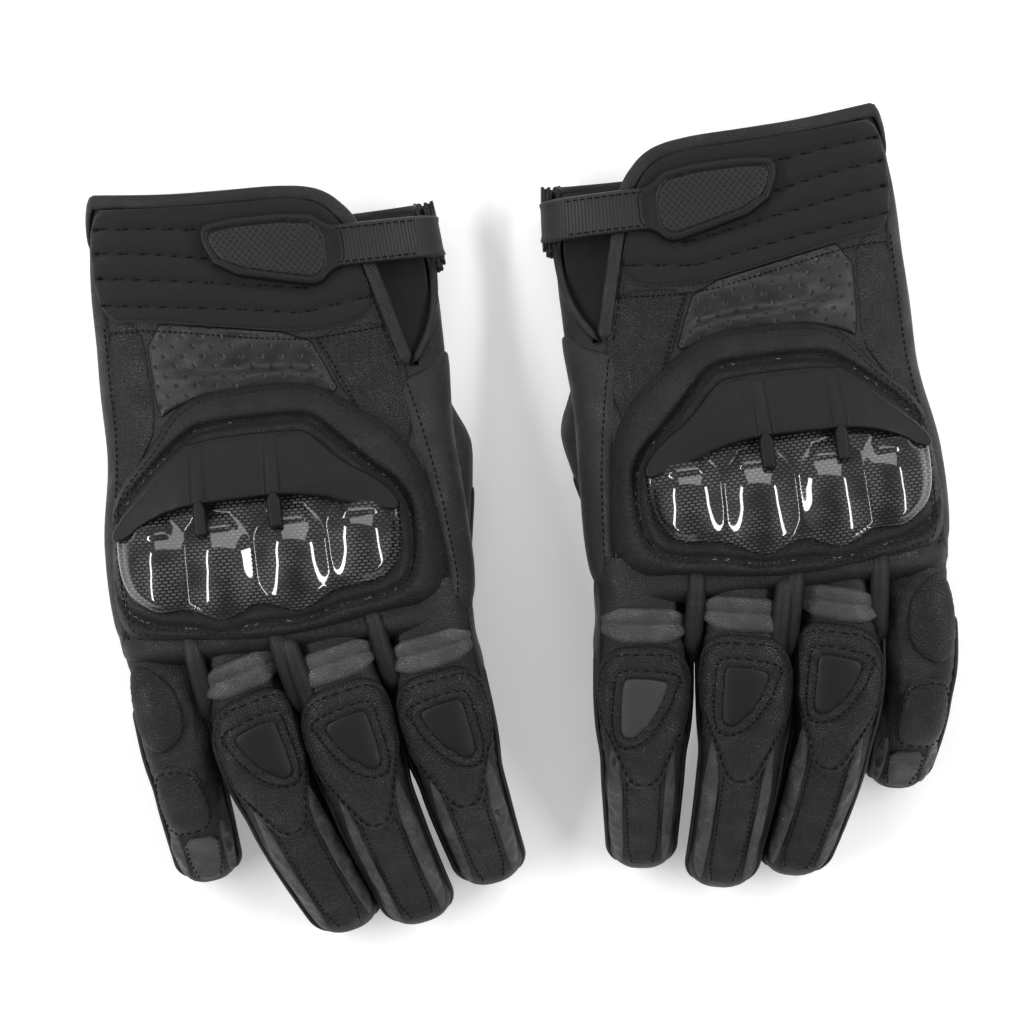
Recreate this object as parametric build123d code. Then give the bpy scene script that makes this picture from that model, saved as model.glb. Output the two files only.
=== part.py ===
"""A pair of short-cuff leather riding gloves, lying palm down side by side.

Each glove is built right-handed in its own frame: +X towards the thumb, +Y towards the cuff,
+Z up from the table, with the origin on the table below the middle of the knuckle guard.
The left glove is the mirror of that, and each is then turned and moved to its place.
All sizes are in millimetres.
"""

from build123d import *
import math
import os
from dataclasses import dataclass

# ---------------------------------------------------------------- hand: the sewn leather body
# Cross-sections from the cuff to the finger line: (y, little-finger side x, thumb side x, under z, over z).
HAND_SECTIONS = (
    (114.0, -41.0, 58.0, 2.0, 28.0),
    (90.0, -44.0, 61.0, 1.5, 30.5),
    (60.0, -45.0, 62.5, 2.2, 34.0),
    (30.0, -45.5, 62.0, 7.5, 41.0),
    (0.0, -48.5, 62.0, 16.8, 48.5),
    (-20.0, -48.5, 62.5, 22.0, 52.5),
    (-37.0, -46.5, 61.0, 26.0, 53.0),
)
SECTION_POWER = 2.4  # a superellipse a little fuller than an ellipse
SECTION_POINTS = 16
LEATHER = 1.6
LINING = 0.9
GAP = 0.15  # between layers sewn to the same hand
CUFF_PANEL_TOP = 1.5
PERFORATED_TOP = 1.2
FLAP_BAND_LAYERS = (1.65, 2.5)
PALM_BAND_TOP = 1.0
ARMOUR_GAP = 0.1  # between the surround and the guard on it
REACH = 100.0  # half the size of cutting blocks, past the whole glove
FINGER_WALL_Y = -35.0  # where the hollow ends and the wall between the fingers starts
PALM_CUFF_END_Y = 95.0
LINING_SPAN_Y = (-22.0, 93.0)

# Dorsal cuff: outline of what is cut away around the flap and the split at the thumb side.
FLAP_EDGE = ((-60, 110), (-41, 110), (-20, 107), (0, 106), (20, 105.5), (30, 102.5), (36.5, 98), (41, 91),
             (45, 76), (48.5, 62), (52.5, 46))
SPLIT_BACK_EDGE = ((59, 56), (62, 68), (62, 96), (85, 96), (85, 125), (-60, 125))
BAND_WIDTH = 3.6

# ---------------------------------------------------------------- panels and armour on the back of the hand
CUFF_PANEL = ((-42.5, 103.5), (-20, 102), (0, 101), (20, 101), (28, 98.5), (33, 93), (36.5, 86), (43, 61.5),
              (20, 59.5), (0, 63), (-28, 69), (-41, 70.5))
PERFORATED = ((-28.5, 67), (-10, 64), (20.5, 58), (24, 50), (27, 44), (19, 45.8), (0, 46.8), (-14, 46.5),
              (-23, 44), (-27, 41))
SURROUND = ((-46, 8), (-43, 17), (-31, 29.5), (-22, 41), (-13, 44.5), (12, 44.8), (21, 43), (31, 36.5),
            (43, 28), (51, 16), (54, 0), (55, -24), (36, -27.5), (18, -30.5), (0, -32), (-20, -30),
            (-45, -27), (-47.5, -14))
GUARD_OUTLINE = ((-44, 9), (-45, -5), (-43, -15), (-37, -20.5), (-32, -22), (-25, -21), (-20, -23.5),
                 (-14, -26), (-8, -24), (-3, -21.5), (3, -23.5), (9, -26), (15, -24), (21, -20.5), (30, -20),
                 (37, -19), (42, -13), (43.5, -5), (43, 9))
HOOD_OUTLINE = ((-46, 2.5), (-43, 9), (-33, 17), (-24, 26), (-18.5, 29.5), (15, 29.5), (20, 26.5), (27, 18.5),
                (38, 11), (43, 5), (43, 1), (36, 2), (20, 8), (8, 10), (-14, 10), (-26, 9), (-36, 5.5),
                (-41, 2))
HOOD_RIBS = ((-20.0, -15.5), (3.0, 7.8))  # x span of each rib
HOOD_RIB_Y = (0.3, 27.0)
SURROUND_TOP = 5.0
GUARD_TOP = 7.6
HOOD_TOP = 10.5
HOOD_RIB_TOP = 12.5
KNUCKLES_X = (-32.5, -14.0, 9.0, 31.0)
KNUCKLE_DOME = 15.0  # radius of each domed knuckle of the guard
KNUCKLE_RISE = 10.6
KNUCKLE_Y = -8.0

# ---------------------------------------------------------------- strap
STRAP_Y = (78.0, 91.5)
STRAP_ROOT_X = 66.3
STRAP_HINGE_Z = 17.6
STRAP_OUTLINE = ((-9.5, 92.5), (-6, 97.5), (25, 96.8), (31.5, 91.5), (70, 91.5), (70, 78), (31.5, 77.5),
                 (27, 73), (21, 74), (-4, 80.5))
TAB_OUTLINE = ((-7.5, 92.2), (-5, 95.3), (24, 94.6), (30, 90), (30, 79), (26.3, 75.3), (22, 76), (-2, 82.3))
HOOK_OUTLINE = ((-3, 84), (-4, 93), (23, 93), (27, 89), (27, 80), (22, 78.5))
ANCHOR_OUTLINE = ((47, 73), (60, 76), (75, 74), (75, 96), (60, 93), (47, 96))
STRAP_LAYERS = (2.8, 4.4)
TAB_LAYERS = (4.5, 5.8)
HOOK_LAYERS = (1.9, 2.7)
ANCHOR_SPLIT = 0.3

# ---------------------------------------------------------------- palm patch
PALM_PATCH = (-4.0, 56.0, 46.0, 34.0)  # centre x and y, width, length
PALM_PATCH_TOP = 9.0

# ---------------------------------------------------------------- fingers
STUB_PITCH = 4.0
BASE_PITCH = 12.0
FINGER_BASE_Y = -34.0
TIP_LIFT = 0.25
JOINT_GAP = 0.35
PAD_LAYERS = (0.2, 3.0)
INSERT_LAYERS = (3.1, 4.3)
PLEAT_LAYERS = (0.2, 1.8)
PLEAT_SPAN = (4.6, 11.2)
PLEAT_GROOVE = 1.0
INSERT_OUTLINE = ((-3.2, 9.2), (3.2, 9.2), (5.2, 4.5), (4.6, -1.5), (2.2, -9.2), (-2.2, -9.2), (-4.6, -1.5),
                  (-5.2, 4.5))


@dataclass(frozen=True)
class Finger:
    """One finger sleeve in two lengths: base (knuckle to middle joint) and tip (middle joint to end)."""

    name: str
    base_x: float
    base_z: float
    angle: float  # plan angle from -Y towards the thumb, degrees
    radius: float
    tip_radius: float
    stub: float  # part of the finger that belongs to the hand
    base_length: float
    tip_length: float
    insert: bool

    def frame(self, origin, pitch):
        """Plane with +Z along the finger, +X towards the thumb and +Y out of its back."""
        a, p = math.radians(self.angle), math.radians(pitch)
        along = (math.sin(a) * math.cos(p), -math.cos(a) * math.cos(p), -math.sin(p))
        return Plane(origin=origin, x_dir=(math.cos(a), math.sin(a), 0), z_dir=along)

    @property
    def root(self):
        """Frame at the start of the stub, on the finger's centre line."""
        return self.frame((self.base_x, FINGER_BASE_Y, self.base_z), STUB_PITCH)

    @property
    def knuckle(self):
        """Frame of the base sleeve; its origin is on the knuckle joint's axis, at the palm side."""
        hinge = (self.root * Location((0, -self.radius, self.stub))).position
        return self.frame(hinge, BASE_PITCH)

    @property
    def middle(self):
        """Frame of the tip sleeve; its origin is on the middle joint's axis, at the palm side."""
        hinge = (self.knuckle * Location((0, 0, self.base_length))).position
        reach = self.tip_length - self.tip_radius
        drop = hinge.Z - self.tip_radius - TIP_LIFT
        pitch = math.asin(drop / math.hypot(reach, self.radius)) + math.atan(self.radius / reach)
        return self.frame(hinge, math.degrees(pitch))


FINGERS = {
    "right": (
        Finger("index", 46.5, 38.0, 8.0, 12.5, 10.5, 12.0, 33.0, 41.0, True),
        Finger("middle", 17.0, 40.0, 11.0, 12.5, 10.5, 12.0, 36.0, 49.0, True),
        Finger("ring", -12.0, 38.5, 15.0, 12.0, 10.5, 12.0, 36.0, 50.0, True),
        Finger("little", -35.5, 36.0, 4.0, 10.5, 9.5, 10.0, 27.0, 38.0, False),
    ),
    "left": (
        Finger("index", 47.5, 38.0, 6.5, 12.5, 10.0, 12.0, 33.0, 42.0, True),
        Finger("middle", 17.5, 40.0, 10.0, 12.5, 10.5, 12.0, 36.0, 49.0, True),
        Finger("ring", -11.5, 38.5, 14.0, 12.0, 10.3, 12.0, 36.0, 49.0, True),
        Finger("little", -35.5, 36.0, 9.0, 10.5, 9.5, 10.0, 27.0, 35.0, False),
    ),
}

# ---------------------------------------------------------------- thumb
THUMB_HINGE = (56.0, 19.0)
THUMB_RADIUS = 9.8
THUMB_TIP_RADIUS = 8.8
THUMB_LENGTH = 60.0
THUMB_START = 1.0  # from the hinge to the sleeve's open end
THUMB_ROOM = 0.6  # clearance round the turning root
THUMB_SWINGS = (0.0, 10.0, 20.0)  # degrees outward that the thumb needs room at
THUMB_RELIEF = 18.0  # how far along the thumb the palm is hollowed for it
THUMB_INWARD = {"right": 8.0, "left": 14.0}  # plan angle under the palm, degrees
THUMB_MOUTH = (7.0, 26.0)  # radius and length of the passage into the hand
THUMB_MOUTH_AIM = (-10.0, 16.0, 11.0)

# ---------------------------------------------------------------- where each glove lies: x, y, turn about Z
PLACES = {"right": (-78.13, -3.48, 7.0), "left": (83.17, 15.82, 6.5)}

# ---------------------------------------------------------------- shared shapes


def section(row, offset):
    """One closed cross-section of the hand, grown by an offset."""
    y, x_little, x_thumb, z_under, z_over = row
    half_w = (x_thumb - x_little) / 2 + offset
    half_h = (z_over - z_under) / 2 + offset
    points = []
    for i in range(SECTION_POINTS):
        a = 2 * math.pi * i / SECTION_POINTS
        c, s = math.cos(a), math.sin(a)
        points.append((
            half_w * math.copysign(abs(c) ** (2 / SECTION_POWER), c),
            half_h * math.copysign(abs(s) ** (2 / SECTION_POWER), s),
        ))
    centre = ((x_little + x_thumb) / 2, y, (z_under + z_over) / 2)
    plane = Plane(origin=centre, x_dir=(1, 0, 0), z_dir=(0, -1, 0))
    return plane * make_face(Spline(*points, periodic=True))


def hand_skin(offset):
    """The solid inside the hand's outer surface, grown by an offset."""
    return loft([section(row, offset) for row in HAND_SECTIONS])


def middle_z(y):
    """Height of the hand's widest line at y."""
    rows = sorted(HAND_SECTIONS)
    for low, high in zip(rows, rows[1:]):
        if low[0] <= y <= high[0]:
            share = (y - low[0]) / (high[0] - low[0])
            middle = [(row[3] + row[4]) / 2 for row in (low, high)]
            return middle[0] + share * (middle[1] - middle[0])
    raise ValueError(f"y {y} is off the hand")


def column(outline, low, high=90.0):
    """An upright prism over a plan outline."""
    return Pos(0, 0, low) * extrude(make_face(Polyline(*outline, close=True)), high - low)


def layer(outline, inner, outer, low):
    """A sheet that follows the back of the hand inside a plan outline, between two offsets."""
    return (hand_skin(outer) & column(outline, low)) - hand_skin(inner)


def tube(radius, wall, length):
    """A round tube that starts at the origin and runs along +Z."""
    align = (Align.CENTER, Align.CENTER, Align.MIN)
    return Cylinder(radius, length, align=align) - Cylinder(radius - wall, length, align=align)


def closed_sleeve(radius, tip_radius, wall, length):
    """A tapered tube along +Z with a round closed end."""
    def half_profile(r, r_tip, start):
        end = length - tip_radius
        with_tip = Line((start, 0), (start, r)) + Line((start, r), (end, r_tip))
        with_tip += RadiusArc((end, r_tip), (end + r_tip, 0), r_tip) + Line((end + r_tip, 0), (start, 0))
        return make_face(with_tip)

    def spun(face):
        return revolve(face, Axis.X, 360)

    outer = spun(half_profile(radius, tip_radius, 0))
    inner = spun(half_profile(radius - wall, tip_radius - wall, -1))
    return Rot(0, -90, 0) * (outer - inner)


def shell_patch(radius, layers, outline, centre):
    """A patch on the back of a round sleeve, inside an outline drawn across x and along z."""
    low, high = radius + layers[0], radius + layers[1]
    ring = Cylinder(high, 2 * REACH) - Cylinder(low, 2 * REACH)
    flat = Plane.XZ * outline
    return ring & (Pos(0, 0, centre) * extrude(flat, amount=-(high + 5)))


# ---------------------------------------------------------------- the hand's pieces


def flap_cutter():
    """Everything beyond the edge of the dorsal cuff flap, above the hand's widest line."""
    return column(FLAP_EDGE + SPLIT_BACK_EDGE, middle_z(90.0))


def mouth_cutter():
    """Everything beyond the palm side of the cuff, below the hand's widest line."""
    return Pos(0, PALM_CUFF_END_Y, -10) * Box(
        2 * REACH, REACH, middle_z(90.0) + 10, align=(Align.CENTER, Align.MIN, Align.MIN))


def thumb_opening(side):
    """The room in which the thumb's root turns, and the way from it into the hand."""
    x, y = THUMB_HINGE
    radius, length = THUMB_MOUTH
    from_bottom = (Align.CENTER, Align.CENTER, Align.MIN)
    aim = Plane(origin=(x, y, THUMB_RADIUS + TIP_LIFT), z_dir=THUMB_MOUTH_AIM)
    root_radius = math.hypot(THUMB_RADIUS, THUMB_START) + THUMB_ROOM
    room = Pos(x, y, 0) * Cylinder(root_radius, 2 * THUMB_RADIUS + TIP_LIFT + THUMB_ROOM, align=from_bottom)
    groove = Cylinder(THUMB_RADIUS + THUMB_ROOM, THUMB_RELIEF, align=from_bottom)
    for swing in THUMB_SWINGS:
        room += thumb_frame(side, swing) * groove
    return room + aim * Cylinder(radius, length, align=from_bottom)


def hand_shell(side):
    """The sewn leather body of the hand, with its cuff split and the four finger roots."""
    body = hand_skin(0)
    for finger in FINGERS[side]:
        body += finger.root * Pos(0, 0, -6) * Cylinder(
            finger.radius, finger.stub + 6, align=(Align.CENTER, Align.CENTER, Align.MIN))
    end = hand_skin(-LEATHER)
    hollow = end & (Pos(0, FINGER_WALL_Y, 0) * Box(
        2 * REACH, 2 * REACH, 2 * REACH, align=(Align.CENTER, Align.MIN, Align.CENTER)))
    body -= hollow
    for finger in FINGERS[side]:
        body -= finger.root * Pos(0, 0, -9) * Cylinder(
            finger.radius - LEATHER, finger.stub + 10, align=(Align.CENTER, Align.CENTER, Align.MIN))
    return body - flap_cutter() - mouth_cutter() - thumb_opening(side)


def lining(side):
    """The knitted sleeve inside the hand; it shows through the cuff split."""
    sleeve = hand_skin(-LEATHER - GAP) - hand_skin(-LEATHER - GAP - LINING)
    low, high = LINING_SPAN_Y
    centred = (Align.CENTER, Align.MIN, Align.CENTER)
    span = Pos(0, low, 0) * Box(2 * REACH, high - low, 2 * REACH, align=centred)
    return (sleeve & span) - thumb_opening(side)


def palm_patch():
    """The slider pad under the heel of the palm, with the flat face that the glove rests on."""
    x, y, width, length = PALM_PATCH
    outline = RectangleRounded(width, length, 8)
    return (Pos(x, y, 0) * extrude(outline, PALM_PATCH_TOP)) - hand_skin(GAP)


def cuff_panel():
    """The ribbed stretch panel across the back of the cuff."""
    return layer(CUFF_PANEL, GAP, CUFF_PANEL_TOP, middle_z(90.0) + 1)


def cuff_binding():
    """The folded leather edging of the cuff: over the dorsal flap, and round the palm side."""
    edge = FLAP_EDGE[1:]
    inside = [(x - BAND_WIDTH, y - BAND_WIDTH * 0.4) for x, y in reversed(edge[6:])]
    inside += [(x, y - BAND_WIDTH) for x, y in reversed(edge[:6])]
    flap = layer(tuple(edge) + tuple(inside), *FLAP_BAND_LAYERS, middle_z(90.0) + 1)
    low = PALM_CUFF_END_Y - BAND_WIDTH
    size = (2 * REACH, BAND_WIDTH, middle_z(90.0) + 9.0)
    cup = Pos(0, low, -10) * Box(*size, align=(Align.CENTER, Align.MIN, Align.MIN))
    palm = (hand_skin(PALM_BAND_TOP) & cup) - hand_skin(GAP)
    return flap + palm


def perforated_panel():
    """The thin perforated leather panel between the cuff and the knuckle surround."""
    return layer(PERFORATED, GAP, PERFORATED_TOP, middle_z(60.0) + 1)


def knuckle_surround():
    """The foam-filled leather pad that carries the knuckle guard."""
    return layer(SURROUND, GAP, SURROUND_TOP, middle_z(-10.0))


def carbon_guard():
    """The hard knuckle guard: a curved plate with four domed knuckles."""
    low = middle_z(0.0)
    plate = layer(GUARD_OUTLINE, SURROUND_TOP + ARMOUR_GAP, GUARD_TOP, low)
    domes = hand_skin(KNUCKLE_RISE) & column(GUARD_OUTLINE, low)
    balls = Part()
    for x in KNUCKLES_X:
        top = knuckle_height(x) + KNUCKLE_RISE
        balls += Pos(x, KNUCKLE_Y, top - KNUCKLE_DOME) * Sphere(KNUCKLE_DOME)
    return plate + ((domes & balls) - hand_skin(SURROUND_TOP + ARMOUR_GAP))


def knuckle_height(x):
    """Height of the hand's back at the guard's knuckle line."""
    rows = [row for row in HAND_SECTIONS if row[0] in (0.0, -20.0)]
    share = -KNUCKLE_Y / 20.0
    y, x0, x1, z0, z1 = (a + share * (b - a) for a, b in zip(*rows))
    reach = abs(x - (x0 + x1) / 2) / ((x1 - x0) / 2)
    return (z0 + z1) / 2 + (z1 - z0) / 2 * (1 - reach**SECTION_POWER) ** (1 / SECTION_POWER)


def guard_hood(guard):
    """The moulded hood over the wrist side of the guard, with its two ribs."""
    low = middle_z(0.0)
    hood = layer(HOOD_OUTLINE, SURROUND_TOP + ARMOUR_GAP, HOOD_TOP, low)
    y0, y1 = HOOD_RIB_Y
    for x0, x1 in HOOD_RIBS:
        hood += layer(((x0, y0), (x1, y0), (x1, y1), (x0 + 2, y1)), GUARD_TOP, HOOD_RIB_TOP, low)
    return hood - guard


def stretch_panels(side):
    """The pleated leather strips on the roots of the three armoured fingers."""
    strips = Part()
    start, end = PLEAT_SPAN
    for finger in FINGERS[side]:
        if not finger.insert:
            continue
        wide = 1.5 * finger.radius
        patch = shell_patch(finger.radius, PLEAT_LAYERS, Rectangle(wide, end - start), (start + end) / 2)
        ring = Cylinder(finger.radius + 3, PLEAT_GROOVE) - Cylinder(finger.radius + 1.0, PLEAT_GROOVE)
        strips += finger.root * (patch - Pos(0, 0, (start + end) / 2) * ring)
    return strips - hand_skin(GAP)


def thumb(side):
    """The thumb sleeve, folded under the index side of the palm."""
    sleeve = closed_sleeve(THUMB_RADIUS, THUMB_TIP_RADIUS, LEATHER, THUMB_LENGTH)
    return thumb_frame(side) * Pos(0, 0, THUMB_START) * sleeve


def thumb_frame(side, swing=0.0):
    """Frame of the thumb sleeve, swung outward by some degrees: +Z along the thumb, origin on the hinge."""
    a = math.radians(swing - THUMB_INWARD[side])
    x, y = THUMB_HINGE
    return Plane(origin=(x, y, THUMB_RADIUS + TIP_LIFT), x_dir=(math.cos(a), math.sin(a), 0),
                 z_dir=(math.sin(a), -math.cos(a), 0))


# ---------------------------------------------------------------- the strap's pieces


def strap():
    """The closing strap, from its root at the thumb side to the pull end on the cuff flap."""
    return layer(STRAP_OUTLINE, *STRAP_LAYERS, STRAP_HINGE_Z + ANCHOR_SPLIT)


def pull_tab():
    """The textured rubber pad bonded on the strap's end."""
    return layer(TAB_OUTLINE, *TAB_LAYERS, STRAP_HINGE_Z)


def hook_patch():
    """The hook tape under the strap's end."""
    return layer(HOOK_OUTLINE, *HOOK_LAYERS, STRAP_HINGE_Z)


def strap_anchor():
    """The sewn root of the strap, round the thumb side of the cuff."""
    wrap = hand_skin(STRAP_LAYERS[1]) & column(ANCHOR_OUTLINE, 0.3, STRAP_HINGE_Z)
    return wrap - hand_skin(STRAP_LAYERS[0] - 1.6)


# ---------------------------------------------------------------- the fingers' pieces


def finger_base(finger):
    """The sleeve from the knuckle to the middle joint."""
    sleeve = tube(finger.radius, LEATHER, finger.base_length - 2 * JOINT_GAP)
    return finger.knuckle * Pos(0, finger.radius, JOINT_GAP) * sleeve


def finger_tip(finger):
    """The sleeve from the middle joint to the closed end."""
    sleeve = closed_sleeve(finger.radius, finger.tip_radius, LEATHER, finger.tip_length - JOINT_GAP)
    return finger.middle * Pos(0, finger.radius, JOINT_GAP) * sleeve


def finger_pad(finger):
    """The padded oval on the back of the base sleeve."""
    half_w, half_l = 0.8 * finger.radius, finger.base_length / 2 - 2
    pad = shell_patch(finger.radius, PAD_LAYERS, Ellipse(half_w, half_l), finger.base_length / 2)
    return finger.knuckle * Pos(0, finger.radius, 0) * pad


def finger_insert(finger):
    """The moulded insert in the middle of the pad."""
    outline = Rot(0, 0, 180) * make_face(Polyline(*INSERT_OUTLINE, close=True))
    insert = shell_patch(finger.radius, INSERT_LAYERS, outline, finger.base_length / 2)
    return finger.knuckle * Pos(0, finger.radius, 0) * insert


# ---------------------------------------------------------------- the pair


def glove_pieces(side):
    """Every piece of one glove, in the right-handed glove frame, by name."""
    guard = carbon_guard()
    pieces = {
        "hand_shell": hand_shell(side),
        "lining": lining(side),
        "palm_patch": palm_patch(),
        "cuff_panel": cuff_panel(),
        "cuff_binding": cuff_binding(),
        "perforated_panel": perforated_panel(),
        "knuckle_surround": knuckle_surround(),
        "carbon_guard": guard,
        "guard_hood": guard_hood(guard),
        "stretch_panels": stretch_panels(side),
        "strap": strap(),
        "pull_tab": pull_tab(),
        "hook_patch": hook_patch(),
        "strap_anchor": strap_anchor(),
        "thumb": thumb(side),
    }
    for finger in FINGERS[side]:
        pieces[f"{finger.name}_base"] = finger_base(finger)
        pieces[f"{finger.name}_tip"] = finger_tip(finger)
        pieces[f"{finger.name}_pad"] = finger_pad(finger)
        if finger.insert:
            pieces[f"{finger.name}_insert"] = finger_insert(finger)
    return pieces


def placed(side, shape):
    """A shape of the right-handed glove frame, where that glove lies in the pair."""
    x, y, turn = PLACES[side]
    if side == "left":
        shape = mirror(shape, about=Plane.YZ)
    return Location((x, y, 0), (0, 0, turn)) * shape


def main():
    """Writes one STEP file for each piece of both gloves."""
    os.makedirs("parts", exist_ok=True)
    for side in ("right", "left"):
        for name, piece in glove_pieces(side).items():
            export_step(placed(side, piece), f"parts/{name}_{side}.step")


if __name__ == "__main__":
    main()
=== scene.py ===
"""Looks for a pair of leather riding gloves lying palm down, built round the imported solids.

Every shape is drawn in the frame of a right-hand glove, in millimetres: +X towards the thumb,
+Y towards the cuff, +Z up, origin on the table under the knuckle guard. A Placement then
mirrors, turns and moves it to its place in the pair, in metres.
"""
import logging
import math
from collections.abc import Callable, Iterable, Sequence
from dataclasses import dataclass, field
from enum import Enum
from functools import reduce

import bpy
import numpy as np
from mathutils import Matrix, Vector
from mathutils.geometry import delaunay_2d_cdt


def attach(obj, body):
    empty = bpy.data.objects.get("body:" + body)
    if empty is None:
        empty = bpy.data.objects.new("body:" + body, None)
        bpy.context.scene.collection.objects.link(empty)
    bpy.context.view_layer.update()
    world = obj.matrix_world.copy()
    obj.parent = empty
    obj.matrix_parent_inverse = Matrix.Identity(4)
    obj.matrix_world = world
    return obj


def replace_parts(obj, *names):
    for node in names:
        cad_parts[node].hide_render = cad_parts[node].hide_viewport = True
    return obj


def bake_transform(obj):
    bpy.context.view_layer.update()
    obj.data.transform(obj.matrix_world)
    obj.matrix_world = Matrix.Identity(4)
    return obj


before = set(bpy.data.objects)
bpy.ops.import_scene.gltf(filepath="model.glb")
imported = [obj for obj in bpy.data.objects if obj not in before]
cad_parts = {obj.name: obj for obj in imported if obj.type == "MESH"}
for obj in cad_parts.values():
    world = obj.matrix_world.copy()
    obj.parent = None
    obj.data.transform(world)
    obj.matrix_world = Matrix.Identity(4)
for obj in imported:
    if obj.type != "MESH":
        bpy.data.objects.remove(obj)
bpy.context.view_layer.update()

LOG = logging.getLogger("gloves")
Outline = Sequence[tuple[float, float]]
Relief = Callable[[np.ndarray, np.ndarray], np.ndarray]

MM_PER_METRE = 1000
MM_PER_PATTERN_UNIT = 100.0
TIP_ROWS = np.array([2.4, 1.8, 1.2, 0.8, 0.45, 0.2, 0.05])  # mm before a finger's end, closing its dome
TUBE_SIDES = 12
STITCH_SIDES = 6


# ------------------------------------------------------------------ drawing helpers


def smooth_table(xs: np.ndarray, ys: np.ndarray, at: np.ndarray) -> np.ndarray:
    """Reads a table with smooth joins between its entries.

    Args:
        xs: Rising places of the entries.
        ys: The entries.
        at: Where to read.

    Returns:
        The value at each place.
    """
    slopes = np.gradient(ys, xs)
    at = np.clip(at, xs[0], xs[-1])
    i = np.clip(np.searchsorted(xs, at) - 1, 0, len(xs) - 2)
    step = xs[i + 1] - xs[i]
    t = (at - xs[i]) / step
    start = (2 * t**3 - 3 * t**2 + 1) * ys[i] + (t**3 - 2 * t**2 + t) * slopes[i] * step
    return start + (3 * t**2 - 2 * t**3) * ys[i + 1] + (t**3 - t**2) * slopes[i + 1] * step


def rounded(outline: Outline, times: int, closed: bool = True) -> np.ndarray:
    """Cuts the corners of an outline a few times.

    Args:
        outline: Corner points.
        times: How many rounds of corner cutting.
        closed: Whether the last point joins the first.

    Returns:
        The softened points.
    """
    points = np.array(outline, float)
    for _ in range(times):
        after = np.roll(points, -1, axis=0)
        cut = np.stack([0.75 * points + 0.25 * after, 0.25 * points + 0.75 * after],
                       1).reshape(-1, points.shape[1])
        points = cut if closed else np.vstack([points[:1], cut[1:-2], points[-1:]])
    return points


def evenly(points: np.ndarray, step: float, closed: bool = True) -> np.ndarray:
    """Walks along a line of points in equal steps.

    Args:
        points: The line's points.
        step: Wanted distance between the new points.
        closed: Whether the line returns to its start.

    Returns:
        The new points.
    """
    line = np.vstack([points, points[:1]]) if closed else points
    reach = np.r_[0, np.cumsum(np.linalg.norm(np.diff(line, axis=0), axis=1))]
    count = max(int(round(reach[-1] / step)), 3)
    at = np.linspace(0, reach[-1], count + 1)
    at = at[:-1] if closed else at
    return np.stack([np.interp(at, reach, line[:, k]) for k in range(line.shape[1])], 1)


def distance_to(points: np.ndarray, line: np.ndarray, closed: bool = True) -> np.ndarray:
    """Distance from each flat point to a line of points.

    Args:
        points: Flat points.
        line: The line's points.
        closed: Whether the line returns to its start.

    Returns:
        One distance for each point.
    """
    start = line if closed else line[:-1]
    end = np.roll(line, -1, axis=0) if closed else line[1:]
    along = end - start
    size = np.maximum((along**2).sum(1), 1e-12)
    best = np.full(len(points), 1e9)
    for low in range(0, len(points), 4000):
        p = points[low:low + 4000, None, :]
        t = np.clip(((p - start) * along).sum(2) / size, 0, 1)
        best[low:low + 4000] = np.linalg.norm(p - (start + t[..., None] * along), axis=2).min(1)
    return best


def inside(points: np.ndarray, outline: np.ndarray) -> np.ndarray:
    """Whether each flat point lies inside a closed outline.

    Args:
        points: Flat points.
        outline: The closed outline.

    Returns:
        True for each point inside.
    """
    x, y = points[:, 0][:, None], points[:, 1][:, None]
    a, b = outline, np.roll(outline, -1, axis=0)
    rise = b[:, 1] - a[:, 1]
    rise = np.where(np.abs(rise) < 1e-12, 1e-12, rise)
    crosses = (a[:, 1] > y) != (b[:, 1] > y)
    return (crosses & (x < a[:, 0] + (y - a[:, 1]) / rise * (b[:, 0] - a[:, 0]))).sum(1) % 2 == 1


def ripple(u: np.ndarray, v: np.ndarray, size: float, seed: int) -> np.ndarray:
    """Soft, repeatable unevenness between about -1 and 1.

    Args:
        u: First coordinate, mm.
        v: Second coordinate, mm.
        size: Typical width of one bump, mm.
        seed: Which of the many patterns.

    Returns:
        One height for each point.
    """
    dice = np.random.default_rng(seed)
    total = np.zeros(np.broadcast(u, v).shape)
    for _ in range(7):
        turn, phase, stretch = dice.uniform(0, math.tau), dice.uniform(0, math.tau), dice.uniform(0.7, 1.6)
        total = total + np.sin((u * math.cos(turn) + v * math.sin(turn)) * math.pi / (size * stretch) + phase)
    return total / 4


def smooth(value: np.ndarray, low: float, high: float) -> np.ndarray:
    """0 below low, 1 above high, soft between."""
    t = np.clip((value - low) / (high - low), 0, 1)
    return t * t * (3 - 2 * t)


def hill(distance: np.ndarray, width: float) -> np.ndarray:
    """A soft ridge of height 1 at distance 0."""
    return np.exp(-((distance / width) ** 2))


# ------------------------------------------------------------------ where each glove lies


class Side(Enum):
    """Which hand a glove is for."""

    RIGHT = "right"
    LEFT = "left"


@dataclass(frozen=True)
class Placement:
    """Where one glove lies in the pair: millimetres, and degrees about +Z."""

    side: Side
    x: float
    y: float
    turn: float

    @property
    def mirrored(self) -> bool:
        """Whether the right-hand shape is flipped."""
        return self.side is Side.LEFT

    def world(self, points: np.ndarray) -> np.ndarray:
        """Glove points in mm to the pair's frame in metres.

        Args:
            points: Points, in glove mm.

        Returns:
            Points in the pair's frame, metres.
        """
        p = np.array(points, float).reshape(-1, 3)
        if self.mirrored:
            p[:, 0] *= -1
        c, s = math.cos(math.radians(self.turn)), math.sin(math.radians(self.turn))
        return np.stack([self.x + c * p[:, 0] - s * p[:, 1], self.y + s * p[:, 0] + c * p[:, 1], p[:, 2]],
                        1) / MM_PER_METRE

    def node(self, name: str) -> str:
        """The name of this glove's node, body or piece."""
        return f"{name}_{self.side.value}"


# ------------------------------------------------------------------ meshes


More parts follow.
